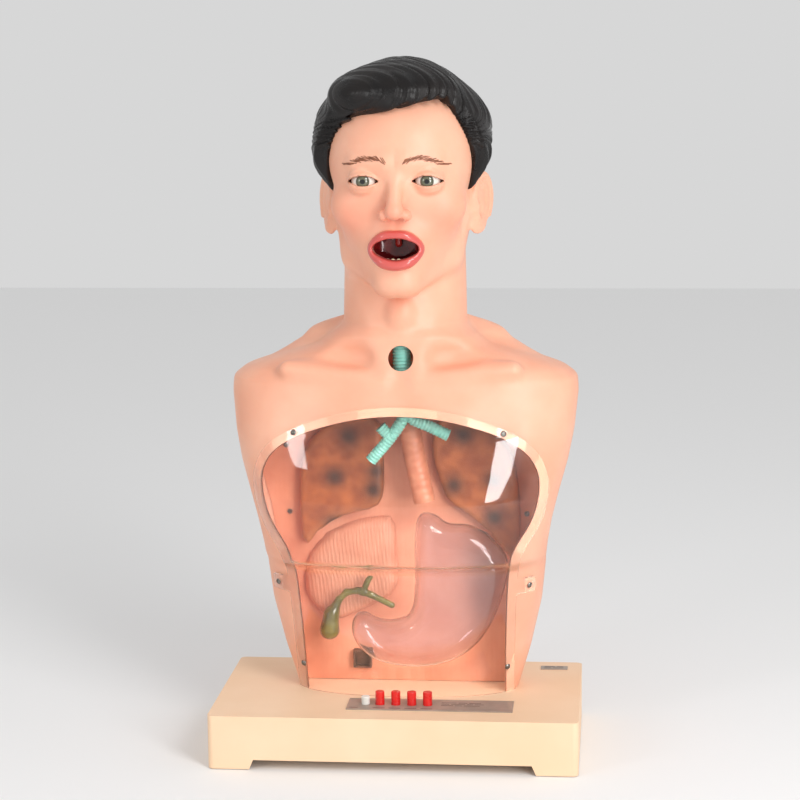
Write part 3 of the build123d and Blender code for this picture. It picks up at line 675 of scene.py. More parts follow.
def headPiece():
    low = [headX - 100, -106, seamZ - 4]
    high = [headX + 100, 104, hairTop + 2]
    verts, quads, normals = sculpt(figureField, low, high, 1.5)
    tris = triangles(quads)
    verts, normals, tris = trim(verts, normals, tris, verts[:, 2] - seamZ)
    verts, normals, tris = capped(verts, normals, tris)
    head = addObject("headSkin", verts, tris, normals=normals)
    ring, deep, thick = lipParts(*verts.T)
    lips = ramp(thick + 0.6 - np.hypot(ring, deep * 0.85), -0.4, 0.5) * (deep < 6)
    x, y, z = verts.T
    inner = ramp(deep, 3.5, 6.5) * (ring < thick) * (np.abs(z - mouthZ) < 22) * (y < -20)
    u = np.abs(x - headX)
    blush = 0.7 * bell(u - 44, 22) * bell(z - mouthZ - 26, 24) * (y < -20)
    blush += 0.8 * bell(u, 16) * bell(z - eyeZ + 33, 9)
    t = (u - eyeSide) / face["lidWide"]
    lash = np.abs(z - eyeZ - face["lidUp"] * (1 - t ** 2)) < 0.9
    paintMask(head, "lips", np.clip(lips, 0, 1))
    paintMask(head, "mouth", np.clip(inner, 0, 1))
    paintMask(head, "blush", np.clip(blush, 0, 1))
    paintMask(head, "line", lash * (np.abs(t) < 0.95) * (y < -70) * 0.7)
    place(head, "stand", faceSkin, "skin", ["head_skin"])
    print("head skin", len(tris))


faceSkin = skin.copy()
faceSkin.name = "faceSkin"
overlay(faceSkin, attributeMask(faceSkin, "blush"), (236, 128, 104), 0.5)
lipMask = overlay(faceSkin, attributeMask(faceSkin, "lips"), (206, 82, 74))
overlay(faceSkin, attributeMask(faceSkin, "mouth"), (112, 16, 18))
overlay(faceSkin, attributeMask(faceSkin, "line"), (120, 66, 52), 0.8)
join(faceSkin.node_tree, lipMask, faceSkin.node_tree.nodes["Principled BSDF"].inputs["Coat Weight"])
torsoPiece()
headPiece()


# hair
hair = {
    "sides": 15.5, "back": 4.6, "top": 7.0, "edge": 3.0, "ridge": 1.1, "part": (38.0, -58.0),
    "whorl": 22.0,
    "angles": [-180, -150, -130, -115, -102, -84, -76, -71, -66, -60, -50, -40, -25, 0, 22, 36, 46, 56,
               64, 70, 75, 84, 102, 115, 130, 150, 180],
    "heights": [505, 508, 535, 580, 603, 603, 578, 570, 578, 602, 628, 640, 648, 654, 662, 664, 650,
                622, 590, 572, 578, 603, 603, 580, 535, 508, 505],
}


def hairLine(x, y, z):
    # positive where hair grows, from the height of its edge all round the head
    turn = np.degrees(np.arctan2(x - headX, 10 - y))
    return (z - np.interp(turn, hair["angles"], hair["heights"])) * 0.8


def hairFlow(x, y, z):
    # strand phase: combed across from the parting in front, down at the sides and back
    px, py = hair["part"]
    across = (y - py) + 0.55 * (x - headX - px) - 0.25 * (z - 660)
    around = np.arctan2(x - headX - hair["whorl"], y - 12) * 60
    top = ramp(z, 610, 650)
    return across * top + around * (1 - top)


def hairField(x, y, z):
    e = z - eyeZ
    u = np.abs(x - headX)
    edge = hairLine(x, y, z)
    lean = (x - headX) ** 2 / ((x - headX) ** 2 + (y - 10) ** 2 + 1)
    lift = hair["back"] + (hair["sides"] - hair["back"]) * lean
    lift = lift + (hair["top"] - lift) * ramp(e, 60, 105)
    lift = hair["edge"] + (lift - hair["edge"]) * ramp(edge, -4, 24)
    f = ball((u, y, e), (0, 10, 28), (75, 85, 82))
    f = melt(f, ball((u, y, e), (0, -26, 16), (65, 57, 60)), 18) - lift
    f = melt(f, ball((x - headX, y, e), (-6, -34, 82), (62, 44, 28)), 16)
    flow = hairFlow(x, y, z)
    wave = np.abs(np.sin(flow * 0.24 + 1.2 * np.sin(flow * 0.052) + 0.8 * np.sin(x * 0.05)))
    fine = np.sin(flow * 0.9 + 2.0 * np.sin(x * 0.06 + z * 0.04))
    f = f - hair["ridge"] * (wave - 0.5) * 1.6 - 0.3 * fine
    f = scoop(f, edge + 1.6 * np.sin(flow * 0.45), 3)
    low, high = boxOf("hair_cap")
    for axis, value in enumerate((x, y, z)):
        f = np.maximum(f, np.maximum(low[axis] + 0.3 - value, value - high[axis] + 0.3))
    return f


def hairPiece():
    low, high = boxOf("hair_cap")
    verts, quads, normals = sculpt(hairField, low - 3, high + 3, 1.6)
    tris = triangles(quads)
    cap = addObject("hairCap", verts, tris, normals=normals)
    paintMask(cap, "strand", hairFlow(*verts.T))
    tree = hairPaint.node_tree
    relief = tree.nodes["relief"]
    relief.inputs["Strength"].default_value = 0.7
    tree.nodes["Principled BSDF"].inputs["Specular IOR Level"].default_value = 0.3
    strands = addNode(tree, "ShaderNodeTexNoise", {"Scale": 2.2, "Detail": 3}, noise_dimensions="1D")
    join(tree, attributeMask(hairPaint, "strand"), strands.inputs["W"])
    join(tree, strands.outputs["Fac"], relief.inputs["Height"])
    place(cap, "stand", hairPaint, "hair", ["hair_cap"])
    print("hair", len(tris))


hairPiece()


# eyes
eyes = {"iris": 6.3, "pupil": 2.5, "radius": 12.3, "bulge": 0.7, "turn": 96, "rings": 56}


def eyePaint():
    paint = newMaterial("eyePaint", (238, 232, 222), (226, 214, 204), patch=200, grain=900,
                        rough=(0.08, 0.14), bump=0.02, coat=0.8)
    tree = paint.node_tree
    streak = addNode(tree, "ShaderNodeTexNoise", {"Scale": 14}, noise_dimensions="1D")
    join(tree, attributeMask(paint, "spoke"), streak.inputs["W"])
    fade = addNode(tree, "ShaderNodeMath", operation="MULTIPLY")
    join(tree, overlay(paint, attributeMask(paint, "iris"), (116, 122, 96)), fade.inputs[0])
    join(tree, streak.outputs["Fac"], fade.inputs[1])
    overlay(paint, fade.outputs[0], (70, 62, 40), 1.2)
    overlay(paint, attributeMask(paint, "rim"), (46, 44, 36))
    overlay(paint, attributeMask(paint, "pupil"), (12, 10, 10))
    return paint


def eyePieces():
    paint = eyePaint()
    radius, bulge, iris, pupil = (eyes[key] for key in ("radius", "bulge", "iris", "pupil"))
    rows, turns = eyes["rings"], eyes["turn"]
    polar = (np.linspace(0, 1, rows) ** 1.3) * math.pi
    for name, node in (("eyeRight", "eye_right"), ("eyeLeft", "eye_left")):
        centre = middleOf(node)
        verts = []
        mask = []
        for k, t in enumerate(polar):
            front = t < 1.5
            ringX = radius * math.sin(t)
            lift = bulge * math.exp(-(ringX / iris) ** 4) if front else 0
            out = radius * math.cos(t) + lift - bulge
            for j in range(turns if 0 < k < rows - 1 else 1):
                w = 2 * math.pi * j / turns
                verts.append(centre + np.array([ringX * math.cos(w), -out, ringX * math.sin(w)]))
                mask.append((ringX if front else 99, w))
        faces = [(0, 1 + (j + 1) % turns, 1 + j) for j in range(turns)]
        for a in range(1, 1 + (rows - 3) * turns, turns):
            b = a + turns
            for j in range(turns):
                n = (j + 1) % turns
                faces.append((a + j, a + n, b + n, b + j))
        last = len(verts) - 1
        a = 1 + (rows - 3) * turns
        faces += [(last, a + j, a + (j + 1) % turns) for j in range(turns)]
        piece = addObject(name, verts, faces)
        r, w = np.array(mask).T
        paintMask(piece, "iris", ramp(-r, -iris - 0.2, -iris + 0.2))
        paintMask(piece, "rim", 0.75 * bell(r - iris + 0.5, 0.7))
        paintMask(piece, "pupil", ramp(-r, -pupil - 0.15, -pupil + 0.15))
        paintMask(piece, "spoke", np.sin(w * 9) * 2 + w)
        place(piece, "stand", paint, "eye", [node])
    print("eyes")


eyePieces()


# tubes built with geometry nodes
def tubeTree():
    # a ringed tube along a curve
    tree = newGroup("ringedTube", "GeometryNodeTree", [
        ("Geometry", "Geometry"), ("Radius", "Float", 0.006), ("Ring depth", "Float", 0.0005),
        ("Ring pitch", "Float", 0.004), ("Step", "Float", 0.0004), ("Around", "Int", 32),
        ("Material", "Material")], [("Geometry", "Geometry")])
    given = addNode(tree, "NodeGroupInput")
    out = addNode(tree, "NodeGroupOutput")
    even = addNode(tree, "GeometryNodeResampleCurve", mode="LENGTH")
    along = addNode(tree, "GeometryNodeSplineParameter")
    cycle = addNode(tree, "ShaderNodeMath", operation="DIVIDE")
    turn = addNode(tree, "ShaderNodeMath", {1: 2 * math.pi}, operation="MULTIPLY")
    wave = addNode(tree, "ShaderNodeMath", operation="SINE")
    depth = addNode(tree, "ShaderNodeMath", operation="MULTIPLY_ADD")
    setRadius = addNode(tree, "GeometryNodeSetCurveRadius")
    circle = addNode(tree, "GeometryNodeCurvePrimitiveCircle", {"Radius": 1})
    sweep = addNode(tree, "GeometryNodeCurveToMesh", {"Fill Caps": True})
    if "Scale" in sweep.inputs:
        join(tree, addNode(tree, "GeometryNodeInputRadius").outputs[0], sweep.inputs["Scale"])
    realize = addNode(tree, "GeometryNodeRealizeInstances")
    paint = addNode(tree, "GeometryNodeSetMaterial")
    wire(tree, [
        (given, "Geometry", even, "Curve"), (given, "Step", even, "Length"),
        (along, "Length", cycle, 0), (given, "Ring pitch", cycle, 1),
        (cycle, 0, turn, 0), (turn, 0, wave, 0), (wave, 0, depth, 0),
        (given, "Ring depth", depth, 1), (given, "Radius", depth, 2),
        (even, "Curve", setRadius, "Curve"), (depth, 0, setRadius, "Radius"),
        (given, "Around", circle, "Resolution"), (setRadius, "Curve", sweep, "Curve"),
        (circle, "Curve", sweep, "Profile Curve"), (sweep, "Mesh", realize, "Geometry"),
        (realize, "Geometry", paint, "Geometry"), (given, "Material", paint, "Material"),
        (paint, "Geometry", out, "Geometry")])
    return tree


ringedTube = tubeTree()


def bakeNodes(name, source, tree, values):
    # runs a node tree once on a plain object and keeps the mesh it makes
    bpy.context.scene.collection.objects.link(source)
    modifier = source.modifiers.new("build", "NODES")
    modifier.node_group = tree
    for item in tree.interface.items_tree:
        if item.in_out == "INPUT" and item.name in values:
            modifier[item.identifier] = values[item.name]
    graph = bpy.context.evaluated_depsgraph_get()
    mesh = bpy.data.meshes.new_from_object(source.evaluated_get(graph), depsgraph=graph)
    mesh.name = name
    bpy.data.objects.remove(source)
    piece = bpy.data.objects.new(name, mesh)
    bpy.context.scene.collection.objects.link(piece)
    mesh.shade_smooth()
    return piece


def curveThrough(paths):
    data = bpy.data.curves.new("path", "CURVE")
    data.dimensions = "3D"
    data.resolution_u = 24
    for points in paths:
        knots = data.splines.new("BEZIER").bezier_points
        knots.add(len(points) - 1)
        for knot, at in zip(knots, points):
            knot.co = Vector(at) * mm
            knot.handle_left_type = knot.handle_right_type = "AUTO"
    return bpy.data.objects.new("path", data)


def joined(name, parts):
    # one mesh from several finished pieces
    verts, faces = [], []
    for part in parts:
        base = len(verts)
        verts += [tuple(v.co / mm) for v in part.data.vertices]
        faces += [tuple(base + i for i in p.vertices) for p in part.data.polygons]
        bpy.data.objects.remove(part)
    return addObject(name, verts, faces)


def tube(name, paths, radius, material, depth=0.45, pitch=4.2, around=40, step=0.5):
    values = {"Radius": radius * mm, "Ring depth": depth * mm, "Ring pitch": pitch * mm, "Step": step * mm,
              "Around": around, "Material": material}
    return bakeNodes(name, curveThrough(paths), ringedTube, values)


# across is from the head's middle line; windpipe heights are above the floor, the others above the base
airway = {
    "trachea": 9.2, "bronchus": 5.9, "gullet": 11.0, "depth": -31.5, "ringDepth": 0.4, "ringPitch": 3.4,
    "windpipe": [(0, 425), (0.5, 400), (3, 372)], "fork": 4,
    "rightBranch": [(4, -31.5, 296), (-1, -31.5, 286), (-12, -31, 270), (-32, -29, 246)],
    "leftBranch": [(4, -31.5, 296), (9, -31.5, 290), (26, -31, 282), (46, -29, 272)],
    "upperBranch": [(-12, -31, 270), (-22, -32, 281)],
    "collar": [(4, -31.5, 291), (4, -31.5, 298.6)],
    "gulletPath": [(0, 2, 340), (6, 3, 262)], "gulletEnd": (20, 0, 198),
}


def airwayPieces():
    y = airway["depth"]
    rings = airway["ringDepth"], airway["ringPitch"]
    top = boxOf("trachea")[1][2] - 0.5
    carina = boxOf("bronchi")[1][2] - 8.4
    pipePath = [(headX, y, top)] + [(headX + x, y, z) for x, z in airway["windpipe"]]
    pipePath.append((headX + airway["fork"], y, carina + 9.5))
    pipe = tube("trachea", [pipePath], airway["trachea"], airwayPlastic, *rings)
    place(pipe, "stand", airwayPlastic, "airway", ["trachea"])

    def fromBase(key):
        return [(headX + x, y, baseTop + h) for x, y, h in airway[key]]

    branches = tube("bronchi", [fromBase("rightBranch"), fromBase("leftBranch"), fromBase("upperBranch")],
                    airway["bronchus"], airwayPlastic, *rings)
    collar = tube("collar", [fromBase("collar")], airway["trachea"] - 0.4, airwayPlastic, 0.2, 3.0)
    place(joined("bronchi", [branches, collar]), "stand", airwayPlastic, "airway", ["bronchi"])

    x, y, h = airway["gulletEnd"]
    gulletPath = [(headX, 2, boxOf("oesophagus")[1][2] - 0.3)] + fromBase("gulletPath")
    gulletPath.append((figureX + x, y, baseTop + h))
    gullet = tube("oesophagus", [gulletPath], airway["gullet"], gulletPlastic, 0.25, 7.0, 48)
    place(gullet, "stand", gulletPlastic, "gullet", ["oesophagus"])
    print("airways and gullet")


airwayPieces()


# organs
organs = {
    "lungRight": [(-26, 282), (-62, 284), (-94, 266), (-109, 240), (-112, 195), (-109, 142), (-86, 168),
                  (-60, 181), (-32, 186), (-24, 200), (-24, 240)],
    "lungLeft": [(27, 282), (62, 284), (95, 266), (110, 240), (116, 200), (117, 160), (112, 127),
                 (92, 154), (68, 178), (42, 194), (34, 215), (26, 240)],
    "liver": [(-108, 88), (-109, 120), (-100, 142), (-84, 158), (-60, 171), (-32, 177), (-14, 176),
              (-11, 140), (-11, 96), (-40, 80), (-80, 62)],
    "stomach": [(12, 189), (31, 189), (44, 177), (66, 178), (88, 166), (104, 148), (107, 130),
                (101, 104), (90, 74), (74, 50), (50, 33), (22, 26), (-6, 26), (-32, 32), (-50, 46),
                (-58, 66), (-52, 84), (-40, 85), (-28, 77), (-10, 76), (7, 84), (10, 120), (9, 155)],
    "spots": [(-60, 317), (-75, 275), (-77, 226), (-35, 261), (-32, 282), (57, 320), (48, 268),
              (89, 273), (89, 234)],
    "spotSize": 11.0, "lungEdge": 8.0, "liverEdge": 14.0, "liverRidge": 0.2,
    "stomachEdge": 26.0, "stomachWall": 1.4,
    "ducts": [((-70, 93), (-62, 101)), ((-62, 101), (-50, 103)), ((-50, 103), (-37, 99)),
              ((-37, 99), (-15, 88)), ((-45, 101), (-37, 120))],
}


def outlineField(key, soft, front, back):
    loop = smoothLoop(organs[key], 2 if key == "stomach" else 1)

    def shape(x, y, z):
        d = loopDistance(loop, x - figureX, z - baseTop)
        ridged = organs["liverRidge"] * np.sin((x + 0.12 * (z - baseTop)) * 1.55) if key == "liver" else 0
        return np.maximum(scoop(d, y - front + ridged, soft), y - back)

    return shape


def reliefPiece(key, node, soft, material, slot, step=2.2):
    low, high = boxOf(node)
    shape = outlineField(key, soft, low[1] + 0.3, high[1])
    return sculptPiece(key, shape, low - 3, high + 3, step, material, slot, node)


def lungPieces():
    for name, node in (("lungRight", "lung_right"), ("lungLeft", "lung_left")):
        piece, verts = reliefPiece(name, node, organs["lungEdge"], lungPaint, "lung")
        spots = sum(bell(np.hypot(verts[:, 0] - headX - a, verts[:, 2] - b), organs["spotSize"])
                    for a, b in organs["spots"])
        paintMask(piece, "spots", np.clip(spots, 0, 1))
        edge = loopDistance(smoothLoop(organs[name]), verts[:, 0] - figureX, verts[:, 2] - baseTop)
        paintMask(piece, "edge", bell(edge, 6.0) * 0.6)


def stomachPiece():
    low, high = boxOf("stomach")
    soft = organs["stomachEdge"]
    front = outlineField("stomach", soft, low[1] + 0.3, 60.0)

    def stomachField(x, y, z):
        return scoop(front(x, y, z), high[1] - 0.3 - y, soft)

    verts, quads, normals = sculpt(stomachField, low - 3, high + 3, 2.4)
    verts, normals, faces = walled(verts, normals, triangles(quads), organs["stomachWall"])
    piece = addObject("stomach", verts, faces, normals=normals)
    place(piece, "stand", clearStomach, "clear", ["stomach"])
    print("stomach", len(faces))


def bileField(x, y, z):
    p = (x - figureX, y - 4, z - baseTop)
    f = rod(p, (-80, 0, 61), (-78, 0, 77), 10.3, 7.5)
    f = melt(f, rod(p, (-78, 0, 77), (-70, 0, 93), 7.0, 3.6), 5)
    for (startX, startH), (endX, endH) in organs["ducts"]:
        f = melt(f, rod(p, (startX, 0, startH), (endX, 0, endH), 3.3, 3.2), 2.5)
    return f


def organPieces():
    lungPieces()
    reliefPiece("liver", "liver", organs["liverEdge"], liverPaint, "liver", 1.5)
    print("lungs and liver")
    stomachPiece()
    low, high = boxOf("gallbladder")
    sculptPiece("gallbladder", bileField, low - 2, high + 2, 1.4, bilePlastic, "bile", "gallbladder")
    print("gallbladder")


def dressOrganPaint():
    overlay(lungPaint, attributeMask(lungPaint, "edge"), (196, 126, 84), 0.9)
    overlay(lungPaint, attributeMask(lungPaint, "spots"), (46, 22, 12), 0.9)
    for paint, scale, strength in ((liverPaint, 105.0, 0.35), (boardPaint, 60.0, 0.08)):
        tree = paint.node_tree
        wave = addNode(tree, "ShaderNodeTexWave",
                       {"Scale": scale, "Distortion": 2.5, "Detail": 2, "Detail Scale": 0.2})
        wire(tree, [(addNode(tree, "ShaderNodeTexCoord"), "Object", wave, "Vector")])
        overlay(paint, wave.outputs["Fac"], (196, 112, 78), strength)


dressOrganPaint()
organPieces()


# clear cover and its screws
cover = {
    "gap": 0.4, "wall": 2.5, "baseGap": 0.8, "step": 3.0,
    "tabHeight": 119.0, "tabHalf": 8.0, "tabReach": 134.0,
    "screws": [(-104, 281), (104, 281), (-128, 119), (128, 119), (-105, 30), (105, 30)],
    "headRadius": 3.3, "domeRadius": 3.9, "shankRadius": 1.6, "crossHalf": 0.45, "crossReach": 1.9,
}


def coverField(x, y, z):
    return trunk(x, y, z) - cover["gap"] - cover["wall"]


def coverPiece():
    low = [figureX - 180, -110, baseTop - 4]
    high = [figureX + 180, boardY + 6, baseTop + 320]
    verts, quads, normals = sculpt(coverField, low, high, cover["step"])
    tris = triangles(quads)
    verts, normals, tris = trim(verts, normals, tris, boardY - verts[:, 1])
    verts, normals, tris = trim(verts, normals, tris, verts[:, 2] - baseTop - cover["baseGap"])
    u = np.abs(verts[:, 0] - figureX)
    rise = np.abs(verts[:, 2] - baseTop - cover["tabHeight"])
    tab = np.maximum(u - cover["tabReach"], rise - cover["tabHalf"])
    region = melt(windowField(verts[:, 0], verts[:, 2], 0.0), tab, 3.0)
    verts, normals, tris = trim(verts, normals, tris, -region)
    verts, normals, tris = walled(verts, normals, tris, cover["wall"])
    shield = addObject("clearCover", verts, tris, normals=normals)
    place(shield, "cover", clearPlastic, "clear", ["clear_cover"])
    print("clear cover", len(tris))


def screwHead(x, y, z):
    # pan head with a cross recess, facing +Z
    across = np.hypot(x, y)
    half, reach = cover["crossHalf"], cover["crossReach"]
    dome = ball((x, y, z), (0, 0, -2.2), [cover["domeRadius"]] * 3)
    head = np.maximum(np.maximum(dome, across - cover["headRadius"]), -z)
    slot = np.minimum(np.maximum(np.abs(x) - half, np.abs(y) - reach),
                      np.maximum(np.abs(y) - half, np.abs(x) - reach))
    head = scoop(head, np.maximum(slot, 0.7 - z), 0.2)
    shank = np.maximum(across - cover["shankRadius"], np.maximum(z - 0.4, -z - 3.0))
    return np.minimum(head, shank)


def pointTree():
    # sets one object on every point, its Z along the point's "facing"
    tree = newGroup("setOnPoints", "GeometryNodeTree", [
        ("Geometry", "Geometry"), ("Object", "Object"), ("Material", "Material")],
        [("Geometry", "Geometry")])
    given = addNode(tree, "NodeGroupInput")
    out = addNode(tree, "NodeGroupOutput")
    source = addNode(tree, "GeometryNodeObjectInfo")
    facing = addNode(tree, "GeometryNodeInputNamedAttribute", data_type="FLOAT_VECTOR")
    facing.inputs["Name"].default_value = "facing"
    align = addNode(tree, "FunctionNodeAlignRotationToVector", axis="Z")
    spread = addNode(tree, "GeometryNodeInstanceOnPoints")
    realize = addNode(tree, "GeometryNodeRealizeInstances")
    paint = addNode(tree, "GeometryNodeSetMaterial")
    wire(tree, [
        (given, "Object", source, "Object"), (facing, 0, align, "Vector"),
        (given, "Geometry", spread, "Points"), (source, "Geometry", spread, "Instance"),
        (align, 0, spread, "Rotation"), (spread, "Instances", realize, "Geometry"),
        (realize, "Geometry", paint, "Geometry"), (given, "Material", paint, "Material"),
        (paint, "Geometry", out, "Geometry")])
    return tree


def coverScrews():
    verts, quads, normals = sculpt(screwHead, [-4, -4, -4], [4, 4, 3], 0.3)
    sample = addObject("screwSample", verts, quads, normals=normals)
    spots = []
    for x, h in cover["screws"]:
        y = np.linspace(-110, 20, 2601)
        at = coverField(np.full_like(y, figureX + x), y, np.full_like(y, baseTop + h))
        spots.append((figureX + x, y[np.argmax(at < 0)], baseTop + h))
    spots = np.array(spots)
    facing = slopeOf(coverField, spots, 1.0)
    facing /= np.linalg.norm(facing, axis=1)[:, None]
    mesh = bpy.data.meshes.new("spots")
    mesh.from_pydata(((spots + facing * 0.05) * mm).tolist(), [], [])
    attribute = mesh.attributes.new("facing", "FLOAT_VECTOR", "POINT")
    attribute.data.foreach_set("vector", facing.ravel())
    piece = bakeNodes("coverScrews", bpy.data.objects.new("spots", mesh), pointTree(),
                      {"Object": sample, "Material": screwSteel})
    bpy.data.objects.remove(sample)
    place(piece, "cover", screwSteel, "screw_steel", ["cover_screws"])
    print("cover screws", len(piece.data.polygons))


coverPiece()
coverScrews()


# mouth
mouth = {
    "archRadius": 18.5, "toothCount": 10, "toothSize": (3.1, 2.2, 3.2),
    "linerWide": 23.6, "linerHigh": 17.2,
    "tongue": (12, 13, 5.2), "tongueGroove": 1.4, "uvulaLow": 3.6, "uvulaTop": 3.0,
}


def toothRow(name, node):
    low, high = boxOf(node)
    middle = (low + high) / 2

    def arch(x, y, z):
        f = np.full(np.shape(x), 50.0)
        for k in range(mouth["toothCount"]):
            w = math.pi * (k + 0.5) / mouth["toothCount"]
            at = (middle[0] + mouth["archRadius"] * math.cos(w),
                  high[1] - mouth["archRadius"] * math.sin(w), middle[2])
            f = melt(f, ball((x, y, z), at, mouth["toothSize"]), 0.7)
        return f

    sculptPiece(name, arch, low - 2, high + 2, 0.8, toothPaint, "teeth", node)


def linerPiece():
    low, high = boxOf("mouth_liner")
    middle = (low + high) / 2
    deep = high[1] - low[1] - 12.3

    def linerField(x, y, z):
        q = (((x - middle[0]) / mouth["linerWide"]) ** 4 + ((y - low[1] - 12) / deep) ** 4
             + ((z - middle[2]) / mouth["linerHigh"]) ** 4) ** 0.25
        return (q - 1) * 17

    verts, quads, normals = sculpt(linerField, low - 3, high + 3, 1.2)
    verts, normals, faces = trim(verts, normals, triangles(quads), verts[:, 1] - low[1] - 2)
    verts, normals, faces = walled(verts, normals, faces, 1.0)
    liner = addObject("mouthLiner", verts, faces, normals=normals)
    place(liner, "stand", mouthPaint, "mouth_red", ["mouth_liner"])


def tonguePiece():
    low, high = boxOf("tongue")
    x0, y0, _ = (low + high) / 2
    groove = mouth["tongueGroove"]

    def tongueField(x, y, z):
        p = (x, y, z)
        f = ball(p, (x0, y0, low[2]), mouth["tongue"])
        cut = rod(p, (x0, low[1], high[2] + 1), (x0, high[1], high[2] + 1), groove, groove)
        return np.maximum(scoop(f, cut, 1.5), low[2] - z)

    sculptPiece("tongue", tongueField, low - 2, high + 2, 0.8, mouthPaint, "mouth_red", "tongue")


def uvulaPiece():
    low, high = boxOf("uvula")
    x0, y0, _ = (low + high) / 2

    def uvulaField(x, y, z):
        f = rod((x, y, z), (x0, y0, low[2]), (x0, y0, high[2]), mouth["uvulaLow"], mouth["uvulaTop"])
        return np.maximum(f, z - high[2])

    sculptPiece("uvula", uvulaField, low - 5, high + 2, 0.7, uvulaPaint, "mouth_red", "uvula")


def mouthPieces():
    toothRow("teethUpper", "teeth_upper")
    toothRow("teethLower", "teeth_lower")
    linerPiece()
    tonguePiece()
    uvulaPiece()
    print("mouth")


mouthPieces()


# brows
brow = {"strokes": 34, "length": 8.0, "thick": 0.42, "start": 9.0, "end": 50.0, "height": 19.0, "rise": 4.5}


def faceFront(x, z):
    y = np.linspace(-104, -40, 641)
    at = headField(np.full_like(y, x), y, np.full_like(y, z))
    return y[np.argmax(at < 0)]


def browPiece():
    paths = []
    for side in (-1, 1):
        for k in range(brow["strokes"]):
            t = (k + rng.uniform(0.1, 0.9)) / brow["strokes"]
            reach = brow["start"] + (brow["end"] - brow["start"]) * t
            height = eyeZ + brow["height"] + brow["rise"] * math.sin(math.pi * min(1, t * 1.15)) - 3 * t
            height += rng.uniform(-1.6, 1.6) * (1 - 0.6 * t)
            slant = math.radians(62 - 70 * t + rng.uniform(-10, 10))
            points = []
            for s in np.linspace(-0.5, 0.5, 5):
                x = reach + s * brow["length"] * math.cos(slant)
                z = height + s * brow["length"] * math.sin(slant) * 0.7
                points.append((headX + side * x, faceFront(headX + side * x, z) - 0.05, z))
            paths.append(points)
    piece = tube("brows", paths, brow["thick"], browPaint, 0.0, 4.0, 6, 1.0)
    place(piece, "stand", browPaint, "hair")
    print("brows", len(piece.data.polygons))


browPaint = newMaterial("browPaint", (150, 92, 62), (120, 70, 46), patch=200, grain=900,
                        rough=(0.4, 0.5))
browPiece()


# base and small parts kept from the frame
def keep(node, material, bevel=0.0):
    obj = bpy.data.objects[node]
    obj.data.materials.clear()
    obj.data.materials.append(material)
    if bevel:
        weld = obj.modifiers.new("weld", "WELD")
        weld.merge_threshold = 0.00002
        edge = obj.modifiers.new("edge", "BEVEL")
        edge.width = bevel * mm
        edge.segments = 3
        edge.limit_method = "ANGLE"
        edge.angle_limit = math.radians(40)
        edge.harden_normals = True


kept = (
    (basePlastic, {"base_housing": 1.2, "base_floor_plate": 0, "board_standoffs": 0}),
    (rubber, {"rubber_feet": 0.6}),
    (panelMetal, {"control_panel": 0.25, "name_plate": 0.2}),
    (whitePlastic, {"power_button": 0}),
    (redPlastic, {"button_1": 0, "button_2": 0, "button_3": 0, "button_4": 0}),
    (blackPlastic, {"key_switches": 0.3, "buzzer": 0.4, "battery_tray": 0.4}),
    (drainPaint, {"drain_port": 0.6}),
    (boardGreen, {"control_board": 0}),
    (cellSleeve, {"battery_cells": 0.6}),
    (screwSteel, {"floor_screws": 0.2, "board_screws": 0.2, "torso_brackets": 0.2, "torso_screws": 0.2,
                  "panel_screws": 0.2}),
    (boardPaint, {"panel_ledge": 0.4, "organ_panel": 0.6}),
    (gulletPlastic, {"throat": 0.5}),
)
for material, bevels in kept:
    for node, bevel in bevels.items():
        keep(node, material, bevel)
print("base dressed")


# plain printed bars on the button plate and the small plate
marks = {
    "rows": [(46.0, -50.5, (15, 9, 12)), (46.0, -55.0, (8, 14, 6, 9)), (46.0, -59.5, (12, 7, 16)),
             (-22.0, -71.0, (12, 0, 12, 0, 12, 0, 12)), (-46.0, -71.0, (9,)), (145.5, 84.5, (11, 7)),
             (145.5, 80.0, (7, 11))],
    "gap": 2.0, "deep": 1.1, "thick": 0.12,
}


def printedBars():
    verts, faces = [], []
    for x, y, lengths in marks["rows"]:
        z = boxOf("name_plate" if y > 0 else "control_panel")[1][2]
        for length in lengths:
            if length:
                n = len(verts)
                verts += [(x + i * length, y + j * marks["deep"], z + k * marks["thick"])
                          for k in (0, 1) for j in (0, 1) for i in (0, 1)]
                faces += [tuple(n + i for i in side) for side in (
                    (0, 2, 3, 1), (4, 5, 7, 6), (0, 1, 5, 4), (2, 6, 7, 3), (0, 4, 6, 2), (1, 3, 7, 5))]
            x += length + marks["gap"]
    place(addObject("printedBars", verts, faces, smooth=False), "stand", inkPaint, "black_plastic")
    print("printed bars")


inkPaint = newMaterial("inkPaint", (92, 78, 70), (74, 62, 56), patch=200, grain=1500, rough=(0.5, 0.6),
                       bump=0.05)
printedBars()


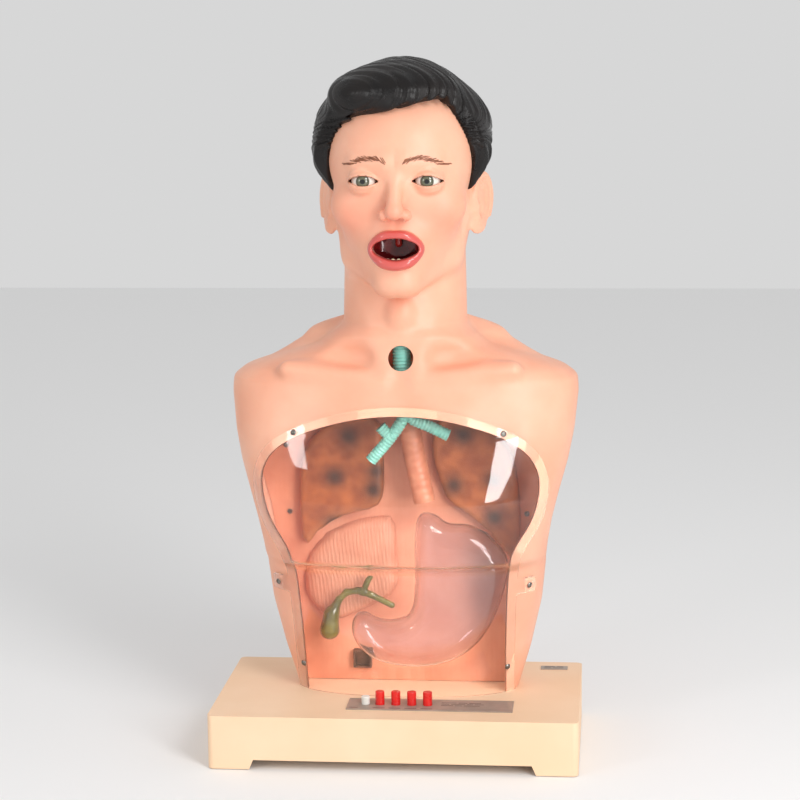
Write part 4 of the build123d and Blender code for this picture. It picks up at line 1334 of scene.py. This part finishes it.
# stage
def stage():
    floor = addObject("floor", [(-4000, -4000, 0), (4000, -4000, 0), (4000, 4000, 0), (-4000, 4000, 0)],
                      [(0, 1, 2, 3)], smooth=False)
    paper = bpy.data.materials.new("paper")
    paper.use_nodes = True
    shader = paper.node_tree.nodes["Principled BSDF"]
    shader.inputs["Base Color"].default_value = (0.88, 0.88, 0.88, 1)
    shader.inputs["Roughness"].default_value = 0.9
    floor.data.materials.append(paper)
    world = bpy.data.worlds.new("studio")
    bpy.context.scene.world = world
    world.use_nodes = True
    backdrop = world.node_tree.nodes["Background"]
    backdrop.inputs["Color"].default_value = (1, 1, 1, 1)
    backdrop.inputs["Strength"].default_value = 0.68
    aim = Vector((0, 0, 0.42))
    for name, where, size, power in (("keyLight", (1.25, -1.6, 1.7), (0.8, 0.8), 19),
                                     ("sideLight", (1.02, -1.46, 0.62), (0.42, 0.7), 11),
                                     ("fillLight", (-1.25, -1.4, 0.95), (0.34, 0.5), 4)):
        data = bpy.data.lights.new(name, "AREA")
        data.shape = "RECTANGLE"
        data.size, data.size_y = size
        data.energy = power
        lamp = bpy.data.objects.new(name, data)
        bpy.context.scene.collection.objects.link(lamp)
        lamp.location = where
        lamp.rotation_euler = (aim - Vector(where)).to_track_quat("-Z", "Y").to_euler()


def camera():
    view = {"azimuth": 5.676, "elevation": 9.625, "roll": 0.596, "distance": 2.21399,
            "target": (0.00184, 0, 0.35816), "lens": 98.4}
    data = bpy.data.cameras.new("camera")
    data.lens = view["lens"]
    data.sensor_width = 36
    eye = bpy.data.objects.new("camera", data)
    bpy.context.scene.collection.objects.link(eye)
    a = math.radians(view["azimuth"])
    e = math.radians(view["elevation"])
    back = Vector((math.sin(a) * math.cos(e), -math.cos(a) * math.cos(e), math.sin(e)))
    eye.location = Vector(view["target"]) + back * view["distance"]
    turn = (-back).to_track_quat("-Z", "Y")
    turn.rotate(Quaternion(back, math.radians(-view["roll"])))
    eye.rotation_mode = "QUATERNION"
    eye.rotation_quaternion = turn
    bpy.context.scene.camera = eye


stage()
camera()
bpy.context.scene.view_settings.view_transform = "Standard"
